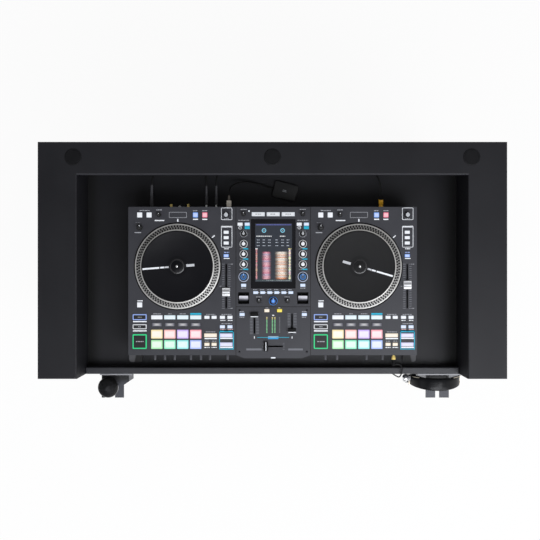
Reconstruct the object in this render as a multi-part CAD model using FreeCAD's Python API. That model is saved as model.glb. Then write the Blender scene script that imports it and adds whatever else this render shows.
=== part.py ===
# DJ booth: a cabinet with a sunken work shelf inside a U-shaped rim, a two-deck console on the shelf,
# and a microphone and headphones hung on forked holders at the front lip.
# Millimetres. +X is the DJ's right, +Y points to the audience, +Z is up.
# The origin is on the floor, in the middle of the footprint with the holders.
import FreeCAD
import Part
import math
import os

V = FreeCAD.Vector
UP = V(0, 0, 1)

# Cabinet
BOOTH_WIDTH = 1200.0
BOOTH_DEPTH = 606.0
BOOTH_HEIGHT = 1050.0
PANEL = 18.0
RIM_SIDE = 100.0
RIM_REAR = 84.0
RIM_ROUND = 3.0
WELL_DEPTH = 165.0
LIP_RISE = 40.0
LIP_DROP = 55.0
FOOT_HEIGHT = 25.0
FOOT_RADIUS = 26.0
FOOT_INSET = 60.0
CAP_RADIUS = 22.0
CAP_HEIGHT = 1.2
CAP_STEM = 14.0
SOCKET_RADIUS = 17.5
CAP_SIDE_INSET = 91.0
CAP_REAR_INSET = 39.0
SCREW_HEAD_RADIUS = 6.0
SCREW_HEAD_HEIGHT = 3.0
SCREW_RADIUS = 2.5
SCREW_LENGTH = 45.0
SCREW_COLUMNS = 5
SCREW_SIDE_INSET = 60.0
STATIC_FIT = 0.2

# Forked holders on the lip
HOLDER_REACH = 68.0
HOLDER_SHEET = 4.0
HOLDER_DROP = 40.0
HOLDER_FLANGE = 30.0
HOLDER_BEND = 3.0
HOLDER_WING = 26.0
WING_STRAIGHT = 16.0
WING_OUT = 33.5
HOLDER_SCREW_LENGTH = 14.0
HOLDER_SCREW_DROP = 10.0
HOOK_PRONG = 26.0
HOOK_GAP = 11.0
HOOK_ROOT = 12.0
MIC_SLOT = 28.0
MIC_PRONG = 24.0
MIC_EDGE = 8.0
MIC_INSET = 59.0
MIC_OUT = 37.0
HEADPHONE_INSET = 52.0
HEADPHONE_OUT = 35.0
HOOK_CLEAR = 1.0

# Console case
CONSOLE_SHIFT = 2.2
CONSOLE_SETBACK = 56.8
CONSOLE_HEIGHT = 115.0
CONSOLE_FOOT = 10.0
CONSOLE_FOOT_RADIUS = 14.0
CONSOLE_FOOT_INSET = 40.0
TOE_WIDTH = 36.0
TOE_DEPTH = 46.0
TOE_FLARE = 12.0
TOE_REACH = 27.0
TOE_CORNER = 8.0
PLATE = 3.0
PLATE_SEAM = 0.6
TRAY_WALL = 2.5
TRAY_INSET = 4.0
TRAY_RIB = 6.0
MIXER_WIDTH = 194.0
RIGHT_DECK_TUCK = 3.2
CROSS_DEPTH = 126.0
NOSE_REACH = 8.0
NOSE_SLANT = 22.0
PLATE_SCREW_INSET = 9.0
PLATE_SCREW_RADIUS = 1.5
PLATE_SCREW_HEAD = 2.8
PLATE_SCREW_RISE = 0.8

# Keys and pads: width and depth, and the rows counted from the console's front edge
KEY_RISE = 2.0
KEY_ROOT = 6.0
KEY_CORNER = 1.0
KEY_CHAMFER = 0.5
KEY_GAP = 0.4
CAP_CORNER = 2.0
CAP_CHAMFER = 1.2
PAD_WIDTH = 29.7
PAD_DEPTH = 23.0
PAD_PITCH = 33.7
PAD_FIRST = 74.6
PAD_ROW = 27.9
PAD_ROW_STEP = 26.9
DIM_STEP = 25.0
MODE_STEP = 18.8
PLATTER_STEP = 21.4
MODE_KEY = (29.0, 10.4)
DIM_KEY = (25.0, 9.0)
SQUARE_KEY = (13.0, 13.0)
SMALL_KEY = (13.0, 8.0)
SYNC_KEY = (36.5, 15.6)
CUE_KEY = (36.5, 13.0)
PLAY_KEY = (37.0, 38.0)
LOOP_KEY = (32.6, 9.6)
WIDE_KEY = (34.0, 10.4)
SOFT_KEY = (12.5, 7.0)
TRANSPORT_INSET = 30.0
PLAY_ROW = 35.5
CUE_STEP = 38.5
SYNC_STEP = 25.0
SHIFT_STEP = 32.0
REAR_KEY_INSET = 21.0
REAR_KEY_STEP = 24.5
RIGHT_PAIR_FIRST = 205.0
RIGHT_PAIR_STEP = 18.6
EDGE_PAIR_STEP = 19.6
EDGE_PAIR_DROP = 24.6
BEND_STEP = 22.0
GROUP_STEP = 33.0
GROUP_PITCH = 14.0
REAR_PAIR_FIRST = 175.0
TRIM_DX = 80.0
SIDE_TRIM_REAR = 54.0
LOOP_ROW = 28.3
LOOP_STEP = 23.5

# Platters, records and their motors
PLATTER_RADIUS = 111.0
PLATTER_TOP_RADIUS = 94.0
PLATTER_HEIGHT = 20.0
PLATTER_CLEAR = 1.5
PLATTER_EDGE = 3.0
PLATTER_TOP_EDGE = 2.0
PLATTER_SIDE = 18.0
PLATTER_REAR = 44.0
RECORD_RADIUS = 91.5
RECORD_THICK = 2.0
RECORD_LABEL_RADIUS = 22.0
RECORD_LABEL_RISE = 0.4
SPINDLE_RADIUS = 3.5
SPINDLE_RISE = 12.0
SHAFT_RADIUS = 6.0
SHAFT_LENGTH = 45.0
SHAFT_CLEAR = 3.0
MOTOR_RADIUS = 58.0
MOTOR_BOSS_RADIUS = 22.0
MOTOR_TOP_GAP = 20.0
MOTOR_BOSS = 12.0
RUNNING_FIT = 0.05

# Faders
FADER_GAP = 15.0
FADER_INSET = 25.5
FADER_CAP_LIFT = 0.5
FADER_STEM_WIDTH = 3.0
FADER_STEM_ROOT = 12.0
FADER_PLAY = 0.5
PITCH_FRONT = 122.0
PITCH_TRAVEL = 102.0
PITCH_STEM = 12.0
PITCH_CAP = (19.6, 22.0)
PITCH_CAP_HEIGHT = 9.0
PITCH_SETTING = {"left": -14.9, "right": 3.5}
CHANNEL_FRONT = 56.0
CHANNEL_TRAVEL = 45.0
CHANNEL_STEM = 6.0
CHANNEL_OFFSET = 49.0
CHANNEL_CAP = (21.0, 12.5)
CHANNEL_CAP_HEIGHT = 10.0
CHANNEL_SETTING = {"left": 22.5, "right": -18.0}
CROSS_FRONT = 23.0
CROSS_TRAVEL = 45.0
CROSS_CAP = (11.0, 24.0)
CROSS_SETTING = -19.0

# Mixer column, in steps from the crossfader plate to the rear edge
COLUMN_OFFSET = 77.0
PADDLE_STEP = 22.6
FILTER_KEY_STEP = 33.4
FILTER_STEP = 22.0
EQ_FIRST_STEP = 32.4
EQ_STEP = 26.6
LEVEL_STEP = 26.4
PAIR_STEP = 25.0
TOP_STEP = 26.0
REAR_MARGIN = 19.0
PAIR_SPREAD = 9.3
TOP_KEY_PITCH = 39.0
SOFT_STEP = 37.0
SOFT_KEY_PITCH = 18.3
SOFT_KEYS = 6
BROWSE_STEP = 15.0
BROWSE_SIDE = 37.0
DISPLAY_STEP = 11.0
DISPLAY_WIDTH = 116.0
DISPLAY_LENGTH = 180.0
DISPLAY_REBATE = 2.0
DISPLAY_GAP = 0.3
DISPLAY_LEDGE = 4.0
DISPLAY_REAR = 13.0
CROSS_KEY_STEP = 20.0
CROSS_KEY_OFFSET = 81.0
LAMP_KEY_STEP = 10.0
LAMP_KEY_OFFSET = 16.5
PADDLE_POCKET = (29.0, 30.5)
PADDLE_POCKET_DROP = 14.0
PADDLE_WALL = 2.0
PADDLE = (23.0, 11.7)
PADDLE_RISE = 7.0
PADDLE_ROOT = 10.0
PADDLE_PIN_RADIUS = 1.5
PADDLE_PIN_DROP = 7.0

# Knobs: skirt radius and height
KNOB_LIFT = 0.4
KNOB_HEIGHT = 13.0
KNOB_CHAMFER = 1.2
KNOB_SHAFT_RADIUS = 3.0
KNOB_SHAFT_ROOT = 7.0
LEVEL_KNOB = 7.5
EQ_KNOB = 9.0
FILTER_KNOB = 11.5
BROWSE_KNOB = 10.0
TRIM_KNOB = 6.0
TRIM_KNOB_LARGE = 8.0

# Sockets, plugs and the portable drive
SOCKET_HEIGHT = 50.0
RCA_DX = (106.0, 150.9)
POST_DX = 128.7
POWER_DX = 53.9
JACK_DX = (199.6, 226.0)
USB_DX = 259.7
NETWORK_DX = 193.4
PHONES_DX = 227.2
FRONT_KNOB_DX = {
    "left": (63.0, 89.0, 115.0, 158.0, 185.0, 209.0, 256.0),
    "right": (45.4, 76.4, 154.9, 197.9)}
RCA_RADIUS = 4.5
RCA_LENGTH = 10.0
POST_RADIUS = 4.0
FRONT_KNOB_RADIUS = 3.2
FRONT_KNOB_LENGTH = 22.0
POWER_PLUG = (10.0, 14.0, 42.0)
POWER_RELIEF = (4.0, 24.5)
JACK_TIP = (2.2, 7.0)
JACK_BODY = (4.2, 57.0)
USB_PLUG = (13.0, 7.0, 28.0)
USB_RELIEF = (2.4, 10.0)
NETWORK_TIP = (9.0, 9.0, 28.0)
NETWORK_BODY = (4.5, 13.5)
HEADPHONE_TIP = (3.2, 21.0)
HEADPHONE_BODY = (9.0, 10.0, 17.0)
HEADPHONE_RELIEF = (2.6, 3.0)
DRIVE_SIZE = (65.0, 45.0, 10.0)
DRIVE_CORNER = 7.0
DRIVE_SHIFT = 32.7
DRIVE_INSET = 114.0
DRIVE_TURN = -14.5
GROMMET_RADIUS = 14.0
GROMMET_RISE = 3.0
GROMMET_STEM_RADIUS = 11.0
GROMMET_REAR = 46.0
GROMMET_X = (-298.0, -182.0, -142.0, 268.0)
LEAD_DIAMETER = {
    "power lead": 5.5, "left audio lead": 5.0, "right audio lead": 5.0,
    "network lead": 5.0, "drive lead": 4.0}

# Microphone
MIC_COLLAR_RADIUS = 17.0
MIC_COLLAR_HEIGHT = 9.0
MIC_BALL_RADIUS = 27.2
MIC_BALL_LIFT = 28.0
MIC_HANDLE_TOP = 12.0
MIC_HANDLE_END = 9.5
MIC_HANDLE_LENGTH = 145.0

# Headphones
BAND_RADIUS = 63.0
BAND_THICK = 7.0
BAND_WIDTH = 38.0
BAND_REST = 0.4
BAND_ROUND = 2.0
ARM_THICK = 7.0
CUP_RADIUS = 30.0
CUP_GAP = 0.4
CUP_INNER = 30.0
CUP_THICK = 30.0
CUP_ROUND = 6.0
CUSHION_THICK = 14.0
CUSHION_HOLE = 14.0
CUSHION_ROUND = 6.0
CHROME_RADIUS = 17.0
CHROME_THICK = 17.0
CHROME_ROUND = 4.0
SWIVEL_RADIUS = 4.0
SWIVEL_LENGTH = 10.0
CORD_RELIEF = (4.0, 12.0)
HEADPHONE_CORD_DIAMETER = 3.5

# Heights and edges worked out from the sizes above
HALF_WIDTH = BOOTH_WIDTH / 2
FRONT_Y = (HOLDER_REACH - BOOTH_DEPTH) / 2
REAR_Y = FRONT_Y + BOOTH_DEPTH
RIM_UNDER = BOOTH_HEIGHT - PANEL
WELL_HALF = HALF_WIDTH - RIM_SIDE
WELL_REAR = REAR_Y - RIM_REAR
SHELF_TOP = BOOTH_HEIGHT - WELL_DEPTH
SHELF_UNDER = SHELF_TOP - PANEL
LIP_TOP = SHELF_TOP + LIP_RISE
LIP_UNDER = SHELF_TOP - LIP_DROP
BASE_TOP = FOOT_HEIGHT + PANEL
HOLDER_TOP = LIP_TOP - HOLDER_DROP
MIC_X = MIC_INSET - WELL_HALF
HEADPHONE_X = WELL_HALF - HEADPHONE_INSET

DECK_WIDTH = PLATTER_SIDE + 2 * PLATTER_RADIUS + FADER_GAP + FADER_INSET
CONSOLE_FRONT = FRONT_Y + CONSOLE_SETBACK
TRAY_BOTTOM = SHELF_TOP + CONSOLE_FOOT
PLATE_TOP = SHELF_TOP + CONSOLE_HEIGHT
PLATE_UNDER = PLATE_TOP - PLATE
DECK_LEFT = {
    "left": CONSOLE_SHIFT - MIXER_WIDTH / 2 - DECK_WIDTH,
    "right": CONSOLE_SHIFT + MIXER_WIDTH / 2 - RIGHT_DECK_TUCK}
SIDES = {"left": -1, "right": 1}

PAD_ROWS = (PAD_ROW, PAD_ROW + PAD_ROW_STEP)
DIM_ROW = PAD_ROWS[1] + DIM_STEP
MODE_ROW = DIM_ROW + MODE_STEP
PLATTER_DX = PLATTER_SIDE + PLATTER_RADIUS
PLATTER_DY = MODE_ROW + PLATTER_STEP + PLATTER_RADIUS
FADER_DX = DECK_WIDTH - FADER_INSET

PADDLE_ROW = CROSS_DEPTH + PADDLE_STEP
FILTER_KEY_ROW = PADDLE_ROW + FILTER_KEY_STEP
FILTER_ROW = FILTER_KEY_ROW + FILTER_STEP
EQ_ROWS = [FILTER_ROW + EQ_FIRST_STEP + index * EQ_STEP for index in range(3)]
LEVEL_ROW = EQ_ROWS[2] + LEVEL_STEP
PAIR_ROW = LEVEL_ROW + PAIR_STEP
SOFT_ROW = CROSS_DEPTH + SOFT_STEP
BROWSE_ROW = CROSS_DEPTH + BROWSE_STEP
DISPLAY_FRONT = SOFT_ROW + DISPLAY_STEP
TOP_ROW = max(PAIR_ROW + TOP_STEP, DISPLAY_FRONT + DISPLAY_LENGTH + DISPLAY_REAR)
CONSOLE_DEPTH = max(TOP_ROW + REAR_MARGIN, PLATTER_DY + PLATTER_RADIUS + PLATTER_REAR)
CONSOLE_REAR = CONSOLE_FRONT + CONSOLE_DEPTH
REAR_KEY_ROW = CONSOLE_DEPTH - REAR_KEY_INSET
SOCKET_Z = SHELF_TOP + SOCKET_HEIGHT

PITCH_SLOT = PITCH_TRAVEL + PITCH_STEM + 2 * FADER_PLAY
PITCH_ROW = PITCH_FRONT + PITCH_SLOT / 2
CUE_ROW = PLAY_ROW + CUE_STEP
SYNC_ROW = CUE_ROW + SYNC_STEP
BEND_ROW = PITCH_FRONT + PITCH_SLOT + BEND_STEP
CHANNEL_SLOT = CHANNEL_TRAVEL + CHANNEL_STEM + 2 * FADER_PLAY
CHANNEL_ROW = CHANNEL_FRONT + CHANNEL_SLOT / 2
CROSS_SLOT = CROSS_TRAVEL + CHANNEL_STEM + 2 * FADER_PLAY

BAND_CENTRE = HOLDER_TOP + BAND_REST - math.sqrt(BAND_RADIUS**2 - (HOOK_GAP / 2 + HOOK_PRONG)**2)
CUP_TOP = BAND_CENTRE - ARM_THICK - CUP_GAP
CUP_Z = CUP_TOP - CUP_RADIUS
CUP_MIDDLE = CUP_INNER + CUP_THICK / 2
HEADPHONE_Y = FRONT_Y - HEADPHONE_OUT


def block(x0, x1, y0, y1, z0, z1):
    return Part.makeBox(x1 - x0, y1 - y0, z1 - z0, V(x0, y0, z0))


def centred_block(x, y, width, depth, z0, z1):
    return block(x - width / 2, x + width / 2, y - depth / 2, y + depth / 2, z0, z1)


def post(x, y, radius, z0, z1):
    return Part.makeCylinder(radius, z1 - z0, V(x, y, z0))


def bar(radius, start, direction, length):
    return Part.makeCylinder(radius, length, start, direction)


def prism(points, z0, z1):
    corners = [V(x, y, z0) for x, y in points]
    return Part.Face(Part.makePolygon(corners + corners[:1])).extrude(UP * (z1 - z0))


def turned(x, y, profile):
    """A solid of revolution about the upright line at x, y, from radius and height pairs."""
    corners = [V(x + radius, y, z) for radius, z in profile]
    return Part.Face(Part.makePolygon(corners + corners[:1])).revolve(V(x, y, 0), UP, 360)


def upright_edges(solid):
    return [edge for edge in solid.Edges if abs(edge.tangentAt(edge.FirstParameter).z) > 0.99]


def rounded_block(x, y, width, depth, corner, z0, z1):
    solid = centred_block(x, y, width, depth, z0, z1)
    return solid.makeFillet(corner, upright_edges(solid))


def edges_at_height(solid, z):
    return [edge for edge in solid.Edges if abs(edge.BoundBox.ZMin - z) + abs(edge.BoundBox.ZMax - z) < 1e-3]


def key_cap(x, y, size):
    """A key that stands through the plate, with rounded corners and a broken top edge."""
    cap = rounded_block(x, y, size[0], size[1], KEY_CORNER, PLATE_UNDER - KEY_ROOT, PLATE_TOP + KEY_RISE)
    return cap.makeChamfer(KEY_CHAMFER, edges_at_height(cap, PLATE_TOP + KEY_RISE))


def key_hole(x, y, size):
    width = size[0] + 2 * KEY_GAP
    depth = size[1] + 2 * KEY_GAP
    return rounded_block(x, y, width, depth, KEY_CORNER + KEY_GAP, PLATE_UNDER, PLATE_TOP)


def knob(x, y, radius):
    """A knob on its shaft, which turns in the plate."""
    bottom = PLATE_TOP + KNOB_LIFT
    top = PLATE_TOP + KNOB_HEIGHT
    shaft_end = PLATE_UNDER - KNOB_SHAFT_ROOT
    return turned(x, y, [
        (0, shaft_end), (KNOB_SHAFT_RADIUS, shaft_end), (KNOB_SHAFT_RADIUS, bottom), (radius, bottom),
        (radius - KNOB_CHAMFER / 2, top - KNOB_CHAMFER), (radius - 1.5 * KNOB_CHAMFER, top), (0, top)])


def knob_hole(x, y):
    return post(x, y, KNOB_SHAFT_RADIUS + RUNNING_FIT, PLATE_UNDER, PLATE_TOP)


def fader_cap(x, y, size, height, stem):
    """A fader cap with broken top edges, on the stem that runs in the slot."""
    bottom = PLATE_TOP + FADER_CAP_LIFT
    body = rounded_block(x, y, size[0], size[1], CAP_CORNER, bottom, bottom + height)
    body = body.makeChamfer(CAP_CHAMFER, edges_at_height(body, bottom + height))
    leg = centred_block(x, y, stem[0], stem[1], PLATE_UNDER - FADER_STEM_ROOT, bottom)
    return body.fuse(leg)


def fader_slot(x, y, width, depth):
    return rounded_block(x, y, width, depth, FADER_PLAY, PLATE_UNDER, PLATE_TOP)


def screw(seat, inward, head_radius, head_height, radius, length):
    """A screw whose head lies on the outer side of its seat."""
    head = bar(head_radius, seat, inward * -1, head_height)
    return head.fuse(bar(radius, seat, inward, length))


def cord_tube(name, points, diameter):
    """A round cord along straight runs joined by tangent arcs as large as the runs allow."""
    points = [V(*point) for point in points]
    edges = []
    radii = []
    start = points[0]
    for before, corner, after in zip(points, points[1:], points[2:]):
        incoming = corner - before
        outgoing = after - corner
        half_turn = incoming.getAngle(outgoing) / 2
        trim = 0.45 * min(incoming.Length, outgoing.Length)
        radius = trim / math.tan(half_turn)
        incoming.normalize()
        outgoing.normalize()
        inside = outgoing - incoming
        inside.normalize()
        bend_start = corner - incoming * trim
        bend_middle = corner + inside * (radius / math.cos(half_turn) - radius)
        bend_end = corner + outgoing * trim
        edges.append(Part.LineSegment(start, bend_start).toShape())
        edges.append(Part.Arc(bend_start, bend_middle, bend_end).toShape())
        radii.append(radius)
        start = bend_end
    edges.append(Part.LineSegment(start, points[-1]).toShape())
    path = Part.Wire(edges)
    section = Part.Wire(Part.makeCircle(diameter / 2, points[0], points[1] - points[0]))
    tube = path.makePipeShell([section], True, False)
    expected = math.pi * diameter**2 / 4 * path.Length
    print(name, "length", round(path.Length), "volume ratio", round(tube.Volume / expected, 4),
          "least radius in diameters", round(min(radii) / diameter, 1))
    return tube


# Every node's solid or group of solids, by name
parts = {}

# Cabinet panels, the rim on top and the shelf between the inner panels
inner_end = REAR_Y - PANEL
rim = block(-HALF_WIDTH, HALF_WIDTH, FRONT_Y, REAR_Y, RIM_UNDER, BOOTH_HEIGHT)
rim = rim.cut(block(-WELL_HALF, WELL_HALF, FRONT_Y, WELL_REAR, RIM_UNDER, BOOTH_HEIGHT))
rim = rim.makeFillet(RIM_ROUND, edges_at_height(rim, BOOTH_HEIGHT))
cap_reach = HALF_WIDTH - CAP_SIDE_INSET
cap_places = [(x, REAR_Y - CAP_REAR_INSET) for x in (-cap_reach, 0, cap_reach)]
cap_bores = [post(x, y, SOCKET_RADIUS + STATIC_FIT, RIM_UNDER, BOOTH_HEIGHT) for x, y in cap_places]
parts["top_frame"] = rim.cut(cap_bores)
parts["rim_caps"] = Part.makeCompound([
    post(x, y, SOCKET_RADIUS, BOOTH_HEIGHT - CAP_STEM, BOOTH_HEIGHT).fuse(
        post(x, y, CAP_RADIUS, BOOTH_HEIGHT, BOOTH_HEIGHT + CAP_HEIGHT))
    for x, y in cap_places])

screw_span = 2 * (WELL_HALF - SCREW_SIDE_INSET)
screw_columns = [screw_span * (index / (SCREW_COLUMNS - 1) - 0.5) for index in range(SCREW_COLUMNS)]
shelf_middle = SHELF_TOP - PANEL / 2
base_middle = FOOT_HEIGHT + PANEL / 2
rear_screws = [V(x, REAR_Y, z) for x in screw_columns for z in (shelf_middle, base_middle)]
lip_screws = [V(x, FRONT_Y, shelf_middle) for x in screw_columns[1:-1]]
screw_bore = SCREW_RADIUS + STATIC_FIT
head_bore = SCREW_HEAD_RADIUS + STATIC_FIT
inward_rear = V(0, -1, 0)
inward_front = V(0, 1, 0)
rear_bores = [bar(screw_bore, place, inward_rear, SCREW_LENGTH) for place in rear_screws]
rear_bores += [bar(head_bore, place, inward_rear, SCREW_HEAD_HEIGHT) for place in rear_screws]
lip_bores = [bar(screw_bore, place, inward_front, SCREW_LENGTH) for place in lip_screws]
lip_bores += [bar(head_bore, place, inward_front, SCREW_HEAD_HEIGHT) for place in lip_screws]

for side, sign in SIDES.items():
    outer = sorted((sign * HALF_WIDTH, sign * (HALF_WIDTH - PANEL)))
    inner = sorted((sign * WELL_HALF, sign * (WELL_HALF + PANEL)))
    parts[f"{side}_outer_panel"] = block(*outer, FRONT_Y, inner_end, FOOT_HEIGHT, RIM_UNDER)
    parts[f"{side}_inner_panel"] = block(*inner, FRONT_Y, inner_end, BASE_TOP, RIM_UNDER)
posts = []
for sign in SIDES.values():
    between = sorted((sign * (WELL_HALF + PANEL), sign * (HALF_WIDTH - PANEL)))
    posts.append(block(*between, FRONT_Y, FRONT_Y + PANEL, BASE_TOP, RIM_UNDER))
parts["front_posts"] = Part.makeCompound(posts)
audience = block(-HALF_WIDTH, HALF_WIDTH, inner_end, REAR_Y, FOOT_HEIGHT, RIM_UNDER)
parts["audience_panel"] = audience.cut(rear_bores)
base_half = HALF_WIDTH - PANEL
base = block(-base_half, base_half, FRONT_Y, inner_end, FOOT_HEIGHT, BASE_TOP)
parts["base_panel"] = base.cut(rear_bores)

# Cable grommets in the shelf, under the rear rim
grommet_y = REAR_Y - GROMMET_REAR
grommet_places = [(x, grommet_y) for x in GROMMET_X]
grommet_top = SHELF_TOP + GROMMET_RISE
grommet_bore = GROMMET_STEM_RADIUS + STATIC_FIT
grommet_bores = [post(x, y, grommet_bore, SHELF_UNDER, SHELF_TOP) for x, y in grommet_places]
shelf = block(-WELL_HALF, WELL_HALF, FRONT_Y + PANEL, inner_end, SHELF_UNDER, SHELF_TOP)
parts["work_shelf"] = shelf.cut(grommet_bores + rear_bores + lip_bores)
parts["cable_grommets"] = Part.makeCompound([
    post(x, y, GROMMET_STEM_RADIUS, SHELF_UNDER, SHELF_TOP).fuse(
        post(x, y, GROMMET_RADIUS, SHELF_TOP, grommet_top))
    for x, y in grommet_places])

# Forked holders: a flange screwed to the lip and a plate with two prongs
plate_bottom = HOLDER_TOP - HOLDER_SHEET


def holder(x, outline, cuts):
    plate = prism([(x + across, FRONT_Y - out) for across, out in outline], plate_bottom, HOLDER_TOP)
    left = x + min(across for across, out in outline)
    right = x + max(across for across, out in outline)
    flange = block(left, right, FRONT_Y - HOLDER_SHEET, FRONT_Y, plate_bottom, HOLDER_TOP + HOLDER_FLANGE)
    bent = plate.fuse(flange).removeSplitter()
    heel = [edge for edge in edges_at_height(bent, plate_bottom) if abs(edge.CenterOfMass.y - FRONT_Y) < 1e-3]
    bent = bent.makeFillet(HOLDER_BEND, heel).cut(cuts)
    screw_z = HOLDER_TOP + HOLDER_FLANGE - HOLDER_SCREW_DROP
    screw_inset = HOLDER_WING / 2
    places = [V(left + screw_inset, FRONT_Y - HOLDER_SHEET, screw_z)]
    places.append(V(right - screw_inset, FRONT_Y - HOLDER_SHEET, screw_z))
    return bent, places


mic_y = FRONT_Y - MIC_OUT
mic_left = -MIC_SLOT / 2 - MIC_EDGE
mic_prong = MIC_SLOT / 2 + MIC_PRONG
mic_outline = [
    (mic_left, 0), (mic_left, HOLDER_REACH), (mic_prong, HOLDER_REACH), (mic_prong, WING_OUT),
    (mic_prong + HOLDER_WING, WING_STRAIGHT), (mic_prong + HOLDER_WING, 0)]
slot_root = post(MIC_X, mic_y, MIC_SLOT / 2, plate_bottom, HOLDER_TOP)
slot_middle = (FRONT_Y - HOLDER_REACH + mic_y) / 2
slot_open = centred_block(MIC_X, slot_middle, MIC_SLOT, HOLDER_REACH - MIC_OUT, plate_bottom, HOLDER_TOP)
mic_holder, mic_screws = holder(MIC_X, mic_outline, [slot_root, slot_open])

hook_edge = HOOK_GAP / 2
hook_prong = hook_edge + HOOK_PRONG
hook_half = hook_prong + HOLDER_WING
hook_wing = HEADPHONE_OUT - BAND_WIDTH / 2 - HOOK_CLEAR
half_outline = [
    (hook_half, 0), (hook_half, hook_wing / 2), (hook_prong, hook_wing), (hook_prong, HOLDER_REACH),
    (hook_edge, HOLDER_REACH), (hook_edge, HOOK_ROOT)]
hook_outline = half_outline + [(-across, out) for across, out in reversed(half_outline)]
hook, hook_screws = holder(HEADPHONE_X, hook_outline, [])

holder_screws = mic_screws + hook_screws
holder_screw_length = HOLDER_SHEET + HOLDER_SCREW_LENGTH
holder_bores = [bar(screw_bore, place, inward_front, holder_screw_length) for place in holder_screws]
parts["microphone_holder"] = mic_holder.cut(holder_bores)
parts["headphone_holder"] = hook.cut(holder_bores)
lip = block(-WELL_HALF, WELL_HALF, FRONT_Y, FRONT_Y + PANEL, LIP_UNDER, LIP_TOP)
lip = lip.makeFillet(RIM_ROUND, edges_at_height(lip, LIP_TOP))
parts["front_lip"] = lip.cut(lip_bores + holder_bores)

# Console plates and the tray below them
console_left = DECK_LEFT["left"]
console_right = DECK_LEFT["right"] + DECK_WIDTH
seam_y = CONSOLE_FRONT + CROSS_DEPTH
mixer_left = CONSOLE_SHIFT - MIXER_WIDTH / 2
mixer_right = CONSOLE_SHIFT + MIXER_WIDTH / 2
half_seam = PLATE_SEAM / 2

tray_left = console_left + TRAY_INSET
tray_right = console_right - TRAY_INSET
tray_front = CONSOLE_FRONT + TRAY_INSET
tray_rear = CONSOLE_REAR - TRAY_INSET
tray_floor = TRAY_BOTTOM + TRAY_WALL
tray = block(tray_left, tray_right, tray_front, tray_rear, TRAY_BOTTOM, PLATE_UNDER)
tray = tray.cut(block(
    tray_left + TRAY_WALL, tray_right - TRAY_WALL, tray_front + TRAY_WALL, tray_rear - TRAY_WALL,
    tray_floor, PLATE_UNDER))
half_rib = TRAY_RIB / 2
ribs = [block(x - half_rib, x + half_rib, tray_front, tray_rear, TRAY_BOTTOM, PLATE_UNDER)
        for x in (mixer_left, mixer_right)]
ribs.append(block(mixer_left, mixer_right, seam_y - half_rib, seam_y + half_rib, TRAY_BOTTOM, PLATE_UNDER))
parts["console_tray"] = tray.fuse(ribs).removeSplitter()

# Keys of one deck, from its left and front edges; the pads are a bank of their own
pad_columns = [PAD_FIRST + index * PAD_PITCH for index in range(4)]
right_pair = [RIGHT_PAIR_FIRST + index * RIGHT_PAIR_STEP for index in range(2)]
edge_pair = [FADER_DX + (index - 0.5) * EDGE_PAIR_STEP for index in range(2)]
deck_keys = [
    (TRANSPORT_INSET, PLAY_ROW, PLAY_KEY), (TRANSPORT_INSET, CUE_ROW, CUE_KEY),
    (TRANSPORT_INSET, SYNC_ROW, SYNC_KEY), (TRANSPORT_INSET, SYNC_ROW + SHIFT_STEP, SQUARE_KEY),
    (FADER_DX, BEND_ROW, SMALL_KEY), (sum(right_pair) / 2, LOOP_ROW + LOOP_STEP, LOOP_KEY),
    (FADER_DX, LOOP_ROW, LOOP_KEY), (FADER_DX, LOOP_ROW + LOOP_STEP, LOOP_KEY)]
for first in (TRANSPORT_INSET, REAR_PAIR_FIRST):
    deck_keys += [(first + index * REAR_KEY_STEP, REAR_KEY_ROW, SQUARE_KEY) for index in range(2)]
deck_keys += [(FADER_DX, BEND_ROW + GROUP_STEP + index * GROUP_PITCH, SMALL_KEY) for index in range(3)]
deck_keys += [(dx, MODE_ROW, MODE_KEY) for dx in pad_columns]
deck_keys += [(dx, DIM_ROW, DIM_KEY) for dx in pad_columns]
deck_keys += [(dx, dy, SMALL_KEY) for dx in right_pair for dy in (MODE_ROW, LOOP_ROW)]
deck_keys += [(dx, dy, SMALL_KEY) for dx in edge_pair for dy in (MODE_ROW, MODE_ROW - EDGE_PAIR_DROP)]
deck_pads = [(dx, dy, (PAD_WIDTH, PAD_DEPTH)) for dx in pad_columns for dy in PAD_ROWS]
deck_trims = [
    (TRIM_DX, REAR_KEY_ROW, TRIM_KNOB), (FADER_DX, REAR_KEY_ROW, TRIM_KNOB_LARGE),
    (TRANSPORT_INSET, CONSOLE_DEPTH - SIDE_TRIM_REAR, TRIM_KNOB_LARGE)]
trim_knobs = []

# The two decks: plate, keys, pads, platter, record, motor and pitch fader
platter_bottom = PLATE_TOP + PLATTER_CLEAR
platter_top = PLATE_TOP + PLATTER_HEIGHT
spindle_top = platter_top + SPINDLE_RISE
record_top = platter_top + RECORD_THICK
label_top = record_top + RECORD_LABEL_RISE
record_hole = SPINDLE_RADIUS + STATIC_FIT
shaft_end = PLATE_TOP - SHAFT_LENGTH
motor_top = PLATE_UNDER - MOTOR_TOP_GAP
platter_profile = [
    (0, shaft_end), (SHAFT_RADIUS, shaft_end), (SHAFT_RADIUS, platter_bottom),
    (PLATTER_RADIUS, platter_bottom), (PLATTER_RADIUS, platter_bottom + PLATTER_EDGE),
    (PLATTER_TOP_RADIUS + PLATTER_TOP_EDGE, platter_top - PLATTER_TOP_EDGE),
    (PLATTER_TOP_RADIUS, platter_top), (SPINDLE_RADIUS, platter_top),
    (SPINDLE_RADIUS, spindle_top), (0, spindle_top)]
record_profile = [
    (record_hole, platter_top), (RECORD_RADIUS, platter_top), (RECORD_RADIUS, record_top),
    (RECORD_LABEL_RADIUS, record_top), (RECORD_LABEL_RADIUS, label_top), (record_hole, label_top)]
motor_profile = [
    (0, tray_floor), (MOTOR_RADIUS, tray_floor), (MOTOR_RADIUS, motor_top), (MOTOR_BOSS_RADIUS, motor_top),
    (MOTOR_BOSS_RADIUS, motor_top + MOTOR_BOSS), (0, motor_top + MOTOR_BOSS)]
motors = []
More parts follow.
